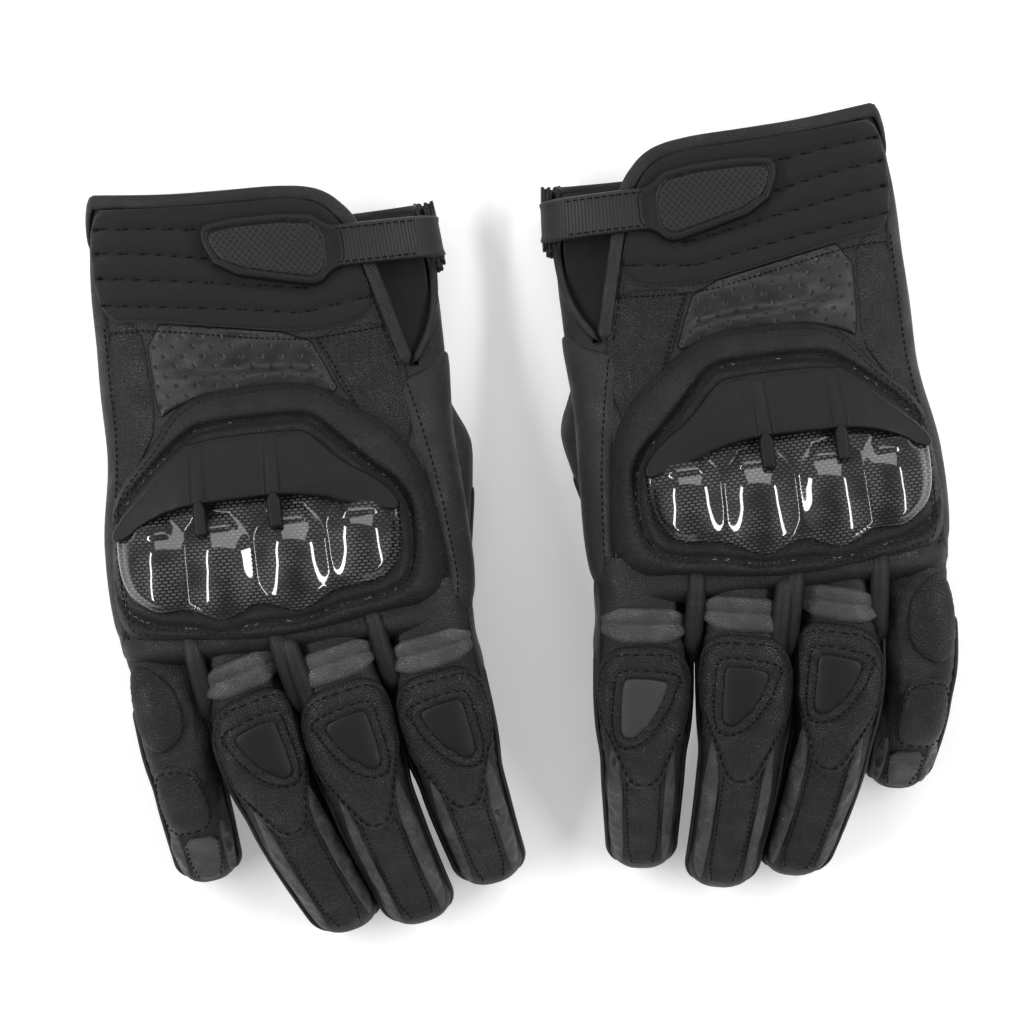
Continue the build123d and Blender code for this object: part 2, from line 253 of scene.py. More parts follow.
@dataclass
class Sheet:
    """A mesh in glove millimetres, with each point's flat place for patterns."""

    points: np.ndarray
    faces: list[tuple[int, ...]]
    plan: np.ndarray

    def joined(self, other: "Sheet") -> "Sheet":
        """This sheet and another as one.

        Args:
            other: The sheet to add.

        Returns:
            One sheet.
        """
        shift = len(self.points)
        faces = self.faces + [tuple(i + shift for i in face) for face in other.faces]
        return Sheet(np.vstack([self.points, other.points]), faces, np.vstack([self.plan, other.plan]))

    def piece(self, name: str, place: Placement, material: bpy.types.Material,
              thick: float = 0.0) -> bpy.types.Object:
        """Makes the Blender object.

        Args:
            name: The object's name.
            place: Where the glove lies.
            material: Its finish.
            thick: Wall thickness behind the sheet, mm; 0 leaves it open.

        Returns:
            The object, in the pair's frame.
        """
        mesh = bpy.data.meshes.new(name)
        faces = [tuple(reversed(face)) for face in self.faces] if place.mirrored else self.faces
        mesh.from_pydata(place.world(self.points).tolist(), [], faces)
        layer = mesh.uv_layers.new(name="plan")
        corner = np.zeros(len(mesh.loops), int)
        mesh.loops.foreach_get("vertex_index", corner)
        layer.data.foreach_set("uv", (self.plan[corner] / MM_PER_PATTERN_UNIT).astype(np.float32).ravel())
        mesh.polygons.foreach_set("use_smooth", np.ones(len(mesh.polygons), bool))
        mesh.materials.append(material)
        made = bpy.data.objects.new(name, mesh)
        bpy.context.scene.collection.objects.link(made)
        if thick:
            wall = made.modifiers.new("wall", "SOLIDIFY")
            wall.thickness, wall.offset = thick / MM_PER_METRE, -1
            apply_modifiers(made)
        LOG.info("%s: %d faces", name, len(mesh.polygons))
        return made


def together(sheets: Iterable[Sheet]) -> Sheet:
    """Several sheets as one, in their order."""
    return reduce(Sheet.joined, sheets)


def apply_modifiers(made: bpy.types.Object) -> None:
    """Turns an object's modifiers into plain mesh.

    Args:
        made: The object to settle.
    """
    bpy.context.view_layer.update()
    final = bpy.data.meshes.new_from_object(made.evaluated_get(bpy.context.evaluated_depsgraph_get()))
    made.modifiers.clear()
    made.data = final


def grid_faces(rows: int, columns: int, wrap: bool) -> list[tuple[int, ...]]:
    """Faces of a grid of points laid out row by row.

    Args:
        rows: Number of rows.
        columns: Points in each row.
        wrap: Whether each row closes on itself.

    Returns:
        Four-cornered faces.
    """
    last = columns if wrap else columns - 1
    return [
        (r * columns + c, r * columns + (c + 1) % columns, (r + 1) * columns + (c + 1) % columns,
         (r + 1) * columns + c)
        for r in range(rows - 1) for c in range(last)
    ]


# ------------------------------------------------------------------ surfaces that panels and stitches lie on


@dataclass(frozen=True)
class HandForm:
    """The outside of the sewn hand, from cross-sections (y, outer x, thumb side x, under z, over z)."""

    rows: tuple[tuple[float, ...], ...] = (
        (-37.0, -46.5, 61.0, 26.0, 53.0), (-20.0, -48.5, 62.5, 22.0, 52.5), (0.0, -48.5, 62.0, 16.8, 48.5),
        (30.0, -45.5, 62.0, 7.5, 41.0), (60.0, -45.0, 62.5, 2.2, 34.0), (90.0, -44.0, 61.0, 1.5, 30.5),
        (114.0, -41.0, 58.0, 2.0, 28.0),
    )
    power: float = 2.4
    turned: bool = False

    def middle(self, y: np.ndarray) -> tuple[np.ndarray, ...]:
        """Centre x and z, then half width and half height, at y.

        Args:
            y: Distances along the hand.

        Returns:
            The centre and half sizes.
        """
        table = np.array(self.rows)
        x0, x1, z0, z1 = (smooth_table(table[:, 0], table[:, k], np.asarray(y, float)) for k in (1, 2, 3, 4))
        return (x0 + x1) / 2, (z0 + z1) / 2, (x1 - x0) / 2, (z1 - z0) / 2

    def around(self, angle: np.ndarray, y: np.ndarray, offset: np.ndarray) -> np.ndarray:
        """Points by angle round the section: 0 at the thumb side, a quarter turn at the back of the hand.

        Args:
            angle: Angles round the section, radians.
            y: Distances along the hand.
            offset: Heights above the surface, mm.

        Returns:
            Points in space.
        """
        cx, cz, a, b = self.middle(y)
        c, s = np.cos(angle), np.sin(angle)
        x = cx + np.maximum(a + offset, 0.1) * np.sign(c) * np.abs(c) ** (2 / self.power)
        z = cz + np.maximum(b + offset, 0.1) * np.sign(s) * np.abs(s) ** (2 / self.power)
        return np.stack(np.broadcast_arrays(x, y, z), -1)

    def place(self, plan: np.ndarray, offset: np.ndarray) -> np.ndarray:
        """Points on the back of the hand over the plan (x, y).

        Args:
            plan: Flat places, mm.
            offset: Heights above the surface, mm.

        Returns:
            Points in space.
        """
        cx, cz, a, b = self.middle(plan[:, 1])
        reach = np.clip(np.abs(plan[:, 0] - cx) / (a + offset), 0, 0.998)
        z = cz + (b + offset) * (1 - reach**self.power) ** (1 / self.power)
        return np.stack([plan[:, 0], plan[:, 1], z], 1)


@dataclass(frozen=True)
class HandEdge:
    """A strip along one side of the hand: plan is (mm round the side, towards the palm; y)."""

    hand: HandForm
    thumb_side: bool
    radius: float = 24.0

    @property
    def turned(self) -> bool:
        """Whether faces drawn anticlockwise on the plan look inwards."""
        return not self.thumb_side

    def place(self, plan: np.ndarray, offset: np.ndarray) -> np.ndarray:
        """Points on the side of the hand.

        Args:
            plan: Flat places, mm.
            offset: Heights above the surface, mm.

        Returns:
            Points in space.
        """
        swing = -plan[:, 0] / self.radius
        angle = swing if self.thumb_side else math.pi - swing
        return self.hand.around(angle, plan[:, 1], np.broadcast_to(offset, swing.shape))


@dataclass(frozen=True)
class PalmForm:
    """The underside of the hand over the plan (x, y)."""

    hand: HandForm
    turned: bool = True

    def place(self, plan: np.ndarray, offset: np.ndarray) -> np.ndarray:
        """Points on the palm.

        Args:
            plan: Flat places, mm.
            offset: Heights above the surface, mm.

        Returns:
            Points in space.
        """
        cx, cz, a, b = self.hand.middle(plan[:, 1])
        reach = np.clip(np.abs(plan[:, 0] - cx) / (a + offset), 0, 0.998)
        z = cz - (b + offset) * (1 - reach**self.hand.power) ** (1 / self.hand.power)
        return np.stack([plan[:, 0], plan[:, 1], z], 1)


@dataclass(frozen=True)
class Sleeve:
    """A finger's outside along a bent middle line: plan is (mm across from the top, mm along)."""

    line: np.ndarray  # points of the middle line, 1 mm apart
    across: np.ndarray  # unit vector towards the thumb
    radii: np.ndarray  # radius at each point of the line
    start: float  # plan distance of the line's first point
    widen: np.ndarray | None = None  # how much wider than tall, at each point
    power: float = 2.5
    flatten: float = 0.94
    turned: bool = True

    @property
    def length(self) -> float:
        """Plan distance of the tip."""
        return self.start + len(self.line) - 1.0

    def frame(self, along: np.ndarray) -> tuple[np.ndarray, ...]:
        """Middle point, upward direction and radius at each distance along.

        Args:
            along: Distances along the finger, mm.

        Returns:
            The three arrays.
        """
        at = np.clip(along - self.start, 0, len(self.line) - 1.001)
        i = at.astype(int)
        t = (at - i)[..., None]
        middle = self.line[i] * (1 - t) + self.line[i + 1] * t
        slope = np.gradient(self.line, axis=0)
        slope /= np.linalg.norm(slope, axis=1)[:, None]
        ahead = slope[i] * (1 - t) + slope[i + 1] * t
        up = np.cross(ahead, self.across)
        up /= np.linalg.norm(up, axis=-1)[..., None]
        radius = self.radii[i] * (1 - t[..., 0]) + self.radii[i + 1] * t[..., 0]
        return middle, up, radius

    def place(self, plan: np.ndarray, offset: np.ndarray) -> np.ndarray:
        """Points on the finger.

        Args:
            plan: Flat places, mm.
            offset: Heights above the surface, mm.

        Returns:
            Points in space.
        """
        middle, up, radius = self.frame(plan[:, 1])
        angle = plan[:, 0] / self.radii.max()
        s, c = np.sin(angle), np.cos(angle)
        size = (np.maximum(radius + offset, 0.02))[:, None]
        wide = 1.0 if self.widen is None else np.interp(plan[:, 1] - self.start, np.arange(len(self.line)),
                                                        self.widen)
        side = (wide * np.sign(s) * np.abs(s) ** (2 / self.power))[:, None] * self.across
        rise = (np.sign(c) * np.abs(c) ** (2 / self.power))[:, None] * up * self.flatten
        return middle + size * (side + rise)


Skin = HandForm | HandEdge | PalmForm | Sleeve


@dataclass(frozen=True)
class Panel:
    """A piece of leather or moulding with a rounded rim, cut to an outline on a skin."""

    outline: Outline
    high: float
    low: float = -0.4
    rim: float = 0.8
    step: float = 1.1
    soften: int = 2
    relief: Relief | None = None

    def edge(self) -> np.ndarray:
        """The softened outline, in even steps."""
        return evenly(rounded(self.outline, self.soften), self.step)

    def offset(self, plan: np.ndarray) -> np.ndarray:
        """Height of the panel's face above the skin.

        Args:
            plan: Flat places, mm.

        Returns:
            One height for each place.
        """
        gap = distance_to(plan, self.edge())
        share = np.clip(gap / self.rim, 0, 1)
        height = self.low + (self.high - self.low) * np.sqrt(1 - (1 - share) ** 2)
        return height + self.relief(plan, gap) * np.clip(gap / self.rim, 0, 1) if self.relief else height

    def sheet(self, skin: Skin) -> Sheet:
        """The panel's mesh on a skin.

        Args:
            skin: The surface it lies on.

        Returns:
            A mesh that starts just under the skin at the rim.
        """
        edge = self.edge()
        ahead = np.roll(edge, -1, axis=0) - np.roll(edge, 1, axis=0)
        inward = np.stack([-ahead[:, 1], ahead[:, 0]],
                          1) / np.maximum(np.linalg.norm(ahead, axis=1), 1e-9)[:, None]
        area = 0.5 * (edge[:, 0] * np.roll(edge[:, 1], -1) - np.roll(edge[:, 0], -1) * edge[:, 1]).sum()
        inward *= math.copysign(1, area)
        points = [edge]
        for share in (0.1, 0.35, 0.75):
            ring = edge + inward * share * self.rim
            keep = inside(ring, edge) & (distance_to(ring, edge) > 0.8 * share * self.rim)
            points.append(ring[keep])
        low, top = edge.min(0), edge.max(0)
        xs = np.arange(low[0], top[0], self.step)
        ys = np.arange(low[1], top[1], self.step * 0.87)
        gx, gy = np.meshgrid(xs, ys)
        gx = gx + (np.arange(len(ys)) % 2)[:, None] * self.step / 2
        fill = np.stack([gx.ravel(), gy.ravel()], 1)
        fill = fill[inside(fill, edge)]
        points.append(fill[distance_to(fill, edge) > self.rim * 0.75 + self.step * 0.35])
        flat = np.vstack(points)
        loop = [(i, (i + 1) % len(edge)) for i in range(len(edge))]
        verts, _, faces, *_ = delaunay_2d_cdt([Vector(p) for p in flat], loop, [], 1, 1e-6)
        plan = np.array([tuple(v) for v in verts])
        if skin.turned:
            faces = [tuple(reversed(face)) for face in faces]
        return Sheet(skin.place(plan, self.offset(plan)), [tuple(face) for face in faces], plan)


@dataclass(frozen=True)
class Stitches:
    """A row of thread stitches, sizes in mm."""

    pitch: float = 2.7
    length: float = 1.9
    radius: float = 0.26
    lift: float = 0.05
    slant: float = 0.0  # sideways reach of each stitch, in turn left and right

    def sheet(self, path: np.ndarray, skin: Skin, offset: Callable[[np.ndarray], np.ndarray],
              closed: bool) -> Sheet:
        """Lays the stitches along a flat path.

        Args:
            path: Flat points of the seam.
            skin: The surface under it.
            offset: Height of the leather above the skin at flat points.
            closed: Whether the seam returns to its start.

        Returns:
            All the stitches as one mesh.
        """
        spots = evenly(path, self.pitch, closed)
        ahead = np.gradient(spots, axis=0)
        ahead /= np.maximum(np.linalg.norm(ahead, axis=1), 1e-9)[:, None]
        beside = np.stack([-ahead[:, 1], ahead[:, 0]], 1)
        beside *= (self.slant * np.where(np.arange(len(spots)) % 2, 1, -1))[:, None]
        rings, turns = np.array([-1, -0.75, 0, 0.75, 1]), np.arange(STITCH_SIDES) / STITCH_SIDES * math.tau
        thick, bow = np.array([0.35, 0.95, 1.1, 0.95, 0.35]), np.array([-1.1, 0.2, 0.6, 0.2, -1.1])
        count = len(spots)
        middle = skin.place(spots, offset(spots) + self.lift)
        outward = skin.place(spots, offset(spots) + self.lift + 1.0) - middle
        ends = [spots + sign * (ahead * self.length / 2 + beside) for sign in (-1, 1)]
        low, high = (skin.place(end, offset(end) + self.lift) for end in ends)
        along = (high - low) / 2
        outward -= (outward * along).sum(1)[:, None] / (along**2).sum(1)[:, None] * along
        outward /= np.linalg.norm(outward, axis=1)[:, None]
        side = np.cross(along, outward)
        side /= np.maximum(np.linalg.norm(side, axis=1), 1e-9)[:, None]
        points = np.zeros((count, len(rings), STITCH_SIDES, 3))
        for r in range(len(rings)):
            core = (low + high) / 2 + along * rings[r] + outward * bow[r] * self.radius
            for k in range(STITCH_SIDES):
                reach = self.radius * thick[r]
                points[:, r, k] = core + reach * (math.cos(turns[k]) * side + math.sin(turns[k]) * outward)
        size = len(rings) * STITCH_SIDES
        one = grid_faces(len(rings), STITCH_SIDES, True)
        faces = [tuple(i + size * n for i in face) for n in range(count) for face in one]
        plan = np.repeat(spots, size, axis=0)
        return Sheet(points.reshape(-1, 3), faces, plan)


def tube(points: np.ndarray, outward: np.ndarray, wide: float, tall: float) -> Sheet:
    """A cord, roll or binding along a line in space.

    Args:
        points: The line's points, mm.
        outward: The direction that is up at each point.
        wide: Half width.
        tall: Half height.

    Returns:
        The tube's mesh.
    """
    ahead = np.gradient(points, axis=0)
    ahead /= np.maximum(np.linalg.norm(ahead, axis=1), 1e-9)[:, None]
    side = np.cross(ahead, outward)
    side /= np.maximum(np.linalg.norm(side, axis=1), 1e-9)[:, None]
    up = np.cross(side, ahead)
    turns = np.arange(TUBE_SIDES) / TUBE_SIDES * math.tau
    fade = np.ones(len(points))
    fade[[0, -1]], fade[[1, -2]] = 0.05, 0.75
    level, rise = np.cos(turns)[None, :, None], np.sin(turns)[None, :, None]
    ring = level * side[:, None] * wide + rise * up[:, None] * tall
    body = points[:, None] + ring * fade[:, None, None]
    reach = np.r_[0, np.cumsum(np.linalg.norm(np.diff(points, axis=0), axis=1))]
    plan = np.stack(np.broadcast_arrays(reach[:, None], (turns * wide)[None, :]), -1).reshape(-1, 2)
    return Sheet(body.reshape(-1, 3), grid_faces(len(points), TUBE_SIDES, True), plan)


def roll_on(path: np.ndarray, skin: Skin, offset: float, wide: float, tall: float) -> Sheet:
    """A roll of leather along a flat path on a skin.

    Args:
        path: Flat points.
        skin: The surface.
        offset: Height of its middle above the skin.
        wide: Half width.
        tall: Half height.

    Returns:
        The roll's mesh.
    """
    path = evenly(path, 1.2, False)
    low = skin.place(path, np.full(len(path), offset))
    high = skin.place(path, np.full(len(path), offset + 1.0))
    made = tube(low, high - low, wide, tall)
    made.plan = np.repeat(path, TUBE_SIDES, axis=0)
    return made


# ------------------------------------------------------------------ shader building


class Value:
    """A number that varies over a surface; Python's operators add its Math nodes."""

    def __init__(self, graph: "Graph", socket: bpy.types.NodeSocket) -> None:
        """Wraps a node's output."""
        self.graph = graph
        self.socket = socket

    def math(self, operation: str, *others: "Value | float") -> "Value":
        """One Math node with this value first."""
        node = self.graph.node("ShaderNodeMath", {"operation": operation},
                               {0: self, **dict(enumerate(others, 1))})
        return Value(self.graph, node.outputs[0])

    def __add__(self, other: "Value | float") -> "Value":
        """This plus other."""
        return self.math("ADD", other)

    def __sub__(self, other: "Value | float") -> "Value":
        """This minus other."""
        return self.math("SUBTRACT", other)

    def __rsub__(self, other: float) -> "Value":
        """A number minus this."""
        return self.math("MULTIPLY", -1.0).math("ADD", other)

    def __mul__(self, other: "Value | float") -> "Value":
        """This times other."""
        return self.math("MULTIPLY", other)

    def __truediv__(self, other: "Value | float") -> "Value":
        """This divided by other."""
        return self.math("DIVIDE", other)

    __radd__, __rmul__ = __add__, __mul__

    def fraction(self) -> "Value":
        """The part after the point."""
        return self.math("FRACT")

    def step(self, low: float, high: float) -> "Value":
        """0 below low, 1 above high, smooth between; low may be the larger."""
        made = self.graph.node("ShaderNodeMapRange", {"interpolation_type": "SMOOTHSTEP"},
                               {0: self, 1: low, 2: high})
        return Value(self.graph, made.outputs[0])


class Graph:
    """A material's nodes, round one Principled shader."""

    def __init__(self, name: str, **constants: float | tuple[float, ...]) -> None:
        """Starts a material; constants are set straight on the shader's sockets.

        Args:
            name: The material's name.
            **constants: Shader sockets with _ for the spaces in their names.
        """
        self.material = bpy.data.materials.new(name)
        self.material.use_nodes = True
        self.tree = self.material.node_tree
        self.shader = self.tree.nodes["Principled BSDF"]
        for key, value in constants.items():
            self.shader.inputs[key.replace("_", " ")].default_value = value

    def node(self, kind: str, settings: dict[str, object], values: dict[int | str, object]) -> bpy.types.Node:
        """Adds any node.

        Args:
            kind: The node's type.
            settings: Its properties, set first.
            values: Its inputs, by place or name: numbers, colours, sockets or Values.

        Returns:
            The node.
        """
        made = self.tree.nodes.new(kind)
        for key, value in settings.items():
            setattr(made, key, value)
        for key, value in values.items():
            if isinstance(value, Value):
                value = value.socket
            if isinstance(value, bpy.types.NodeSocket):
                self.tree.links.new(value, made.inputs[key])
            else:
                made.inputs[key].default_value = value
        return made

    def place(self) -> bpy.types.NodeSocket:
        """The point in the object, in metres."""
        return self.node("ShaderNodeTexCoord", {}, {}).outputs["Object"]

    def plan(self) -> tuple[Value, Value]:
        """The flat place on the panel, in mm.

        Returns:
            The two coordinates.
        """
        flat = self.node("ShaderNodeUVMap", {"uv_map": "plan"}, {})
        parts = self.node("ShaderNodeSeparateXYZ", {}, {0: flat.outputs[0]})
        x, y = (Value(self, part) for part in parts.outputs[:2])
        return x * MM_PER_PATTERN_UNIT, y * MM_PER_PATTERN_UNIT

    def cells(self, size: float) -> Value:
        """Leather-like cells about size mm across."""
        made = self.node("ShaderNodeTexVoronoi", {"feature": "DISTANCE_TO_EDGE"},
                         {"Vector": self.place(), "Scale": MM_PER_METRE / size})
        return Value(self, made.outputs["Distance"])

    def clouds(self, size: float, detail: float = 3.0,
               squeeze: tuple[float, float, float] | None = None) -> Value:
        """Soft noise with features about size mm across, perhaps drawn out along an axis.

        Args:
            size: Typical width of a feature, mm.
            detail: How many finer layers.
            squeeze: Scale along each axis, or None.

        Returns:
            The noise, from 0 to 1.
        """
        where = self.place()
        if squeeze:
            where = self.node("ShaderNodeVectorMath", {"operation": "MULTIPLY"},
                              {0: where, 1: squeeze}).outputs[0]
        made = self.node("ShaderNodeTexNoise", {},
                         {"Vector": where, "Scale": MM_PER_METRE / size, "Detail": detail})
        return Value(self, made.outputs[0])

    def paint(self, dark: float, light: float, mask: Value, tint: float = 1.02) -> None:
        """Base colour from a dark to a light neutral tone by a mask.

        Args:
            dark: The darker tone.
            light: The lighter tone.
            mask: Where the lighter tone shows.
            tint: Share of blue.
        """
        made = self.node("ShaderNodeMix", {"data_type": "RGBA"}, {
            0: mask, 6: (dark, dark, dark * tint, 1), 7: (light, light, light * tint, 1)})
        self.tree.links.new(made.outputs[2], self.shader.inputs["Base Color"])

    def rough(self, value: Value) -> None:
        """Drives the roughness."""
        self.tree.links.new(value.socket, self.shader.inputs["Roughness"])

    def bump(self, height: Value, depth: float, strength: float = 1.0) -> None:
        """Drives the surface relief, depth in mm."""
        made = self.node("ShaderNodeBump", {},
                         {"Height": height, "Distance": depth / MM_PER_METRE, "Strength": strength})
        self.tree.links.new(made.outputs[0], self.shader.inputs["Normal"])


@dataclass(frozen=True)
class Leather:
    """Black grained leather: tones, gloss and the size of its grain in mm."""

    name: str
    tone: float = 0.008
    gloss: float = 0.5
    grain: float = 1.1
    depth: float = 0.12
    creases: float = 0.5

    def material(self) -> bpy.types.Material:
        """Pebbled cells, fine pores, long soft creases and rubbed lighter patches.

        Returns:
            The finish.
        """
        g = Graph(self.name, Specular_IOR_Level=0.4)
        cells = g.cells(self.grain).step(0.0, 0.22)
        pores = g.clouds(0.35, 2.0)
        worn = g.clouds(9.0, 4.0).step(0.35, 0.72)
        folds = g.clouds(5.0, 2.0, (0.45, 1.0, 0.8))
        g.paint(self.tone * 0.6, self.tone * 1.5, worn * 0.7 + cells * 0.3)
        g.rough(self.gloss + 0.12 - 0.14 * worn - 0.08 * cells + 0.08 * pores)
        g.bump(cells * 0.55 + pores * 0.25 + folds * self.creases, self.depth * 2)
        return g.material


@dataclass(frozen=True)
class Perforated:
    """Smooth leather with punched holes."""

    name: str
    tone: float = 0.011
    pitch: float = 6.0
    row: float = 3.1
    hole: float = 0.48

    def material(self) -> bpy.types.Material:
        """Holes in staggered rows that lean with the panel, in creased shiny leather.

        Returns:
            The finish.
        """
        g = Graph(self.name, Specular_IOR_Level=0.42)
        x, y = g.plan()
        lean = y + x * 0.12
        line = (lean / self.row).math("FLOOR")
        shift = (line * 0.5).fraction()
        u = ((x / self.pitch + shift).fraction() - 0.5) * self.pitch
        v = ((lean / self.row).fraction() - 0.5) * self.row
        away = (u * u + v * v).math("SQRT")
        solid = away.step(self.hole * 0.75, self.hole * 1.15)
        dent = away.step(self.hole * 0.8, self.hole * 2.2)
        grain = g.cells(0.7).step(0.0, 0.3)
        worn = g.clouds(6.0, 4.0, (0.5, 1.4, 1.0)).step(0.35, 0.7)
        g.paint(0.0008, self.tone, solid * (0.45 + 0.55 * worn))
        g.rough(0.5 - 0.14 * worn + 0.3 * (1 - solid))
        g.bump(dent * 0.5 + grain * 0.1 + g.clouds(2.5, 3.0, (0.4, 1.2, 1.0)) * 0.6, 0.3)
        return g.material


@dataclass(frozen=True)
class RibbedCloth:
    """Stretch cloth with fine cross ribs."""

    name: str
    tone: float = 0.009
    pitch: float = 0.55

    def material(self) -> bpy.types.Material:
        """Fine vertical ribs broken by a knit.

        Returns:
            The finish.
        """
        g = Graph(self.name, Roughness=0.88, Specular_IOR_Level=0.25, Sheen_Weight=0.12, Sheen_Roughness=0.5)
        x, y = g.plan()
        rib = (x * (math.tau / self.pitch)).math("SINE") * 0.5 + 0.5
        knit = (y * (math.tau / (self.pitch * 1.3)) + x * 2.0).math("SINE") * 0.5 + 0.5
        fluff = g.clouds(1.2, 3.0)
        g.paint(self.tone * 0.6, self.tone * 1.7, rib * 0.35 + knit * 0.25 + fluff * 0.4)
        g.bump(rib * 0.6 + knit * 0.3 + fluff * 0.4, 0.12)
        return g.material


@dataclass(frozen=True)
class Weave:
    """Woven fibre under a clear coat."""

    name: str
    bright: float = 0.11
    pitch: float = 1.95
    row: float = 0.98

    def material(self) -> bpy.types.Material:
        """Staggered bright dashes of fibre over black, under a smooth gloss coat.

        Returns:
            The finish.
        """
        g = Graph(self.name, Coat_Weight=1.0, Coat_Roughness=0.035, Specular_IOR_Level=0.2)
        x, y = g.plan()
        y = y + x * 0.03
        line = (y / self.row).math("FLOOR")
        u = (x / self.pitch + (line * 0.5).fraction()).fraction()
        v = (y / self.row).fraction()
        dash = (u - 0.5).math("ABSOLUTE").step(0.42, 0.2) * (v - 0.5).math("ABSOLUTE").step(0.4, 0.14)
        fibre = g.clouds(0.5, 2.0, (1.0, 0.3, 1.0))
        uneven = g.clouds(9.0, 2.0).step(0.35, 0.65)
        g.paint(0.0015, self.bright, dash * (0.2 + 0.8 * uneven) * (0.6 + 0.4 * fibre))
        g.rough(0.42 - 0.12 * dash)
        g.bump(dash, 0.1, 0.6)
        return g.material


@dataclass(frozen=True)
class Moulding:
    """Matt moulded plastic or rubber."""

    name: str
    tone: float = 0.026
    gloss: float = 0.5
    depth: float = 0.03

    def material(self) -> bpy.types.Material:
        """Spark-eroded texture with faint scuffs.

        Returns:
            The finish.
        """
        g = Graph(self.name, Specular_IOR_Level=0.27)
        fine = g.clouds(0.3, 2.0)
        scuff = g.clouds(3.0, 5.0, (1.0, 0.35, 1.0)).step(0.52, 0.75)
        g.paint(self.tone * 0.85, self.tone * 1.35, fine * 0.4 + scuff * 0.6)
        g.rough(self.gloss + 0.12 * fine - 0.1 * scuff)
        g.bump(fine + scuff * 0.3, self.depth * 2)
        return g.material


@dataclass(frozen=True)
class RibbedRubber:
    """Strap rubber with fine cross ribs."""

    name: str
    tone: float = 0.006
    pitch: float = 1.15

    def material(self) -> bpy.types.Material:
        """Cross ribs, lighter on their tops and darker in their grooves.

        Returns:
            The finish.
        """
        g = Graph(self.name, Specular_IOR_Level=0.45)
        x, y = g.plan()
        fine = g.clouds(0.4, 2.0)
        rib = (x * (math.tau / self.pitch)).math("SINE").step(-0.9, 0.2)
        g.paint(self.tone * 0.55, self.tone * 1.4, rib * 0.7 + fine * 0.3)
        g.rough(0.6 - 0.12 * rib + 0.1 * fine)
        g.bump(rib + fine * 0.12, 0.13)
        return g.material


@dataclass(frozen=True)
class Dotted:
    """Rubber with small round dimples in staggered rows."""

    name: str
    tone: float = 0.006
    pitch: float = 2.1

    def material(self) -> bpy.types.Material:
        """Dimples darker than the rubber between them.

        Returns:
            The finish.
        """
        g = Graph(self.name, Specular_IOR_Level=0.45)
        x, y = g.plan()
        row = self.pitch * 0.56
        line = (y / row).math("FLOOR")
        u = ((x / self.pitch + (line * 0.5).fraction()).fraction() - 0.5) * self.pitch
        v = ((y / row).fraction() - 0.5) * row
        flat = (u * u + v * v).math("SQRT").step(0.22, 0.48)
        fine = g.clouds(0.4, 2.0)
        g.paint(self.tone * 0.3, self.tone * 1.2, flat * 0.85 + fine * 0.15)
        g.rough(0.55 + 0.1 * fine)
        g.bump(flat + fine * 0.08, 0.4)
        return g.material


@dataclass(frozen=True)
class Thread:
    """Sewing thread."""

    name: str
    tone: float = 0.02

    def material(self) -> bpy.types.Material:
        """Twisted fibres.

        Returns:
            The finish.
        """
        g = Graph(self.name, Roughness=0.8, Specular_IOR_Level=0.16)
        twist = g.clouds(0.3, 2.0)
        g.paint(self.tone * 0.5, self.tone * 1.6, twist)
        g.bump(twist, 0.1)
        return g.material


@dataclass(frozen=True)
class Plain:
    """The pale table under the gloves."""

    name: str
    tone: float = 0.9

    def material(self) -> bpy.types.Material:
        """Matt paper-like surface that also glows evenly: painted light that lifts the gloves' shadows on it
        and lights them from below.

        Returns:
            The finish.
        """
        # the even emission is painted light: the table glows to lift the shadows under and between the gloves
        g = Graph(self.name, Roughness=0.9, Specular_IOR_Level=0.1, Emission_Color=(1, 1, 1, 1),
                  Emission_Strength=0.3)
        g.paint(self.tone * 0.985, self.tone, g.clouds(40.0, 2.0), 1.0)
        return g.material


class Finishes:
    """Every finish of the gloves, made once."""

    def __init__(self) -> None:
        """Makes the materials."""
        self.body = Leather("leather_body", 0.006, 0.5, 0.9, 0.09, 0.9).material()
        self.grained = Leather("leather_grained", 0.0068, 0.47, 0.95, 0.2, 0.8).material()
        self.padded = Leather("leather_padded", 0.0055, 0.52, 0.8, 0.13, 0.9).material()
        self.smooth = Leather("leather_smooth", 0.009, 0.44, 0.8, 0.06, 1.2).material()
        # the glossy leather's tone, far above the other black leathers, is painted sheen that makes the shiny
        # strips and pleats read lighter
        self.glossy = Leather("leather_glossy", 0.046, 0.34, 0.8, 0.1, 2.6).material()
        self.edging = Leather("leather_edging", 0.006, 0.46, 0.7, 0.06, 1.0).material()
        self.slider = Leather("leather_slider", 0.012, 0.75, 0.6, 0.08, 0.3).material()
        self.perforated = Perforated("leather_perforated").material()
        self.cloth = RibbedCloth("cuff_cloth").material()
        self.lining = RibbedCloth("lining_knit", 0.006, 0.9).material()
        self.weave = Weave("fibre_weave").material()
        self.hood = Moulding("hood_moulding", 0.0045, 0.48).material()
        self.insert = Moulding("insert_moulding", 0.009, 0.46).material()
        self.pale_insert = Moulding("insert_moulding_grey", 0.04, 0.5).material()
        self.strap = RibbedRubber("strap_rubber").material()
        self.tab = Dotted("tab_rubber").material()
        self.rim = Moulding("tab_rim", 0.005, 0.46).material()
        self.thread = Thread("thread_black", 0.0018).material()
        self.seam = Thread("thread_seam", 0.014).material()
        self.lint = Thread("thread_pale", 0.35).material()
        self.table = Plain("table").material()


# ------------------------------------------------------------------ the hand


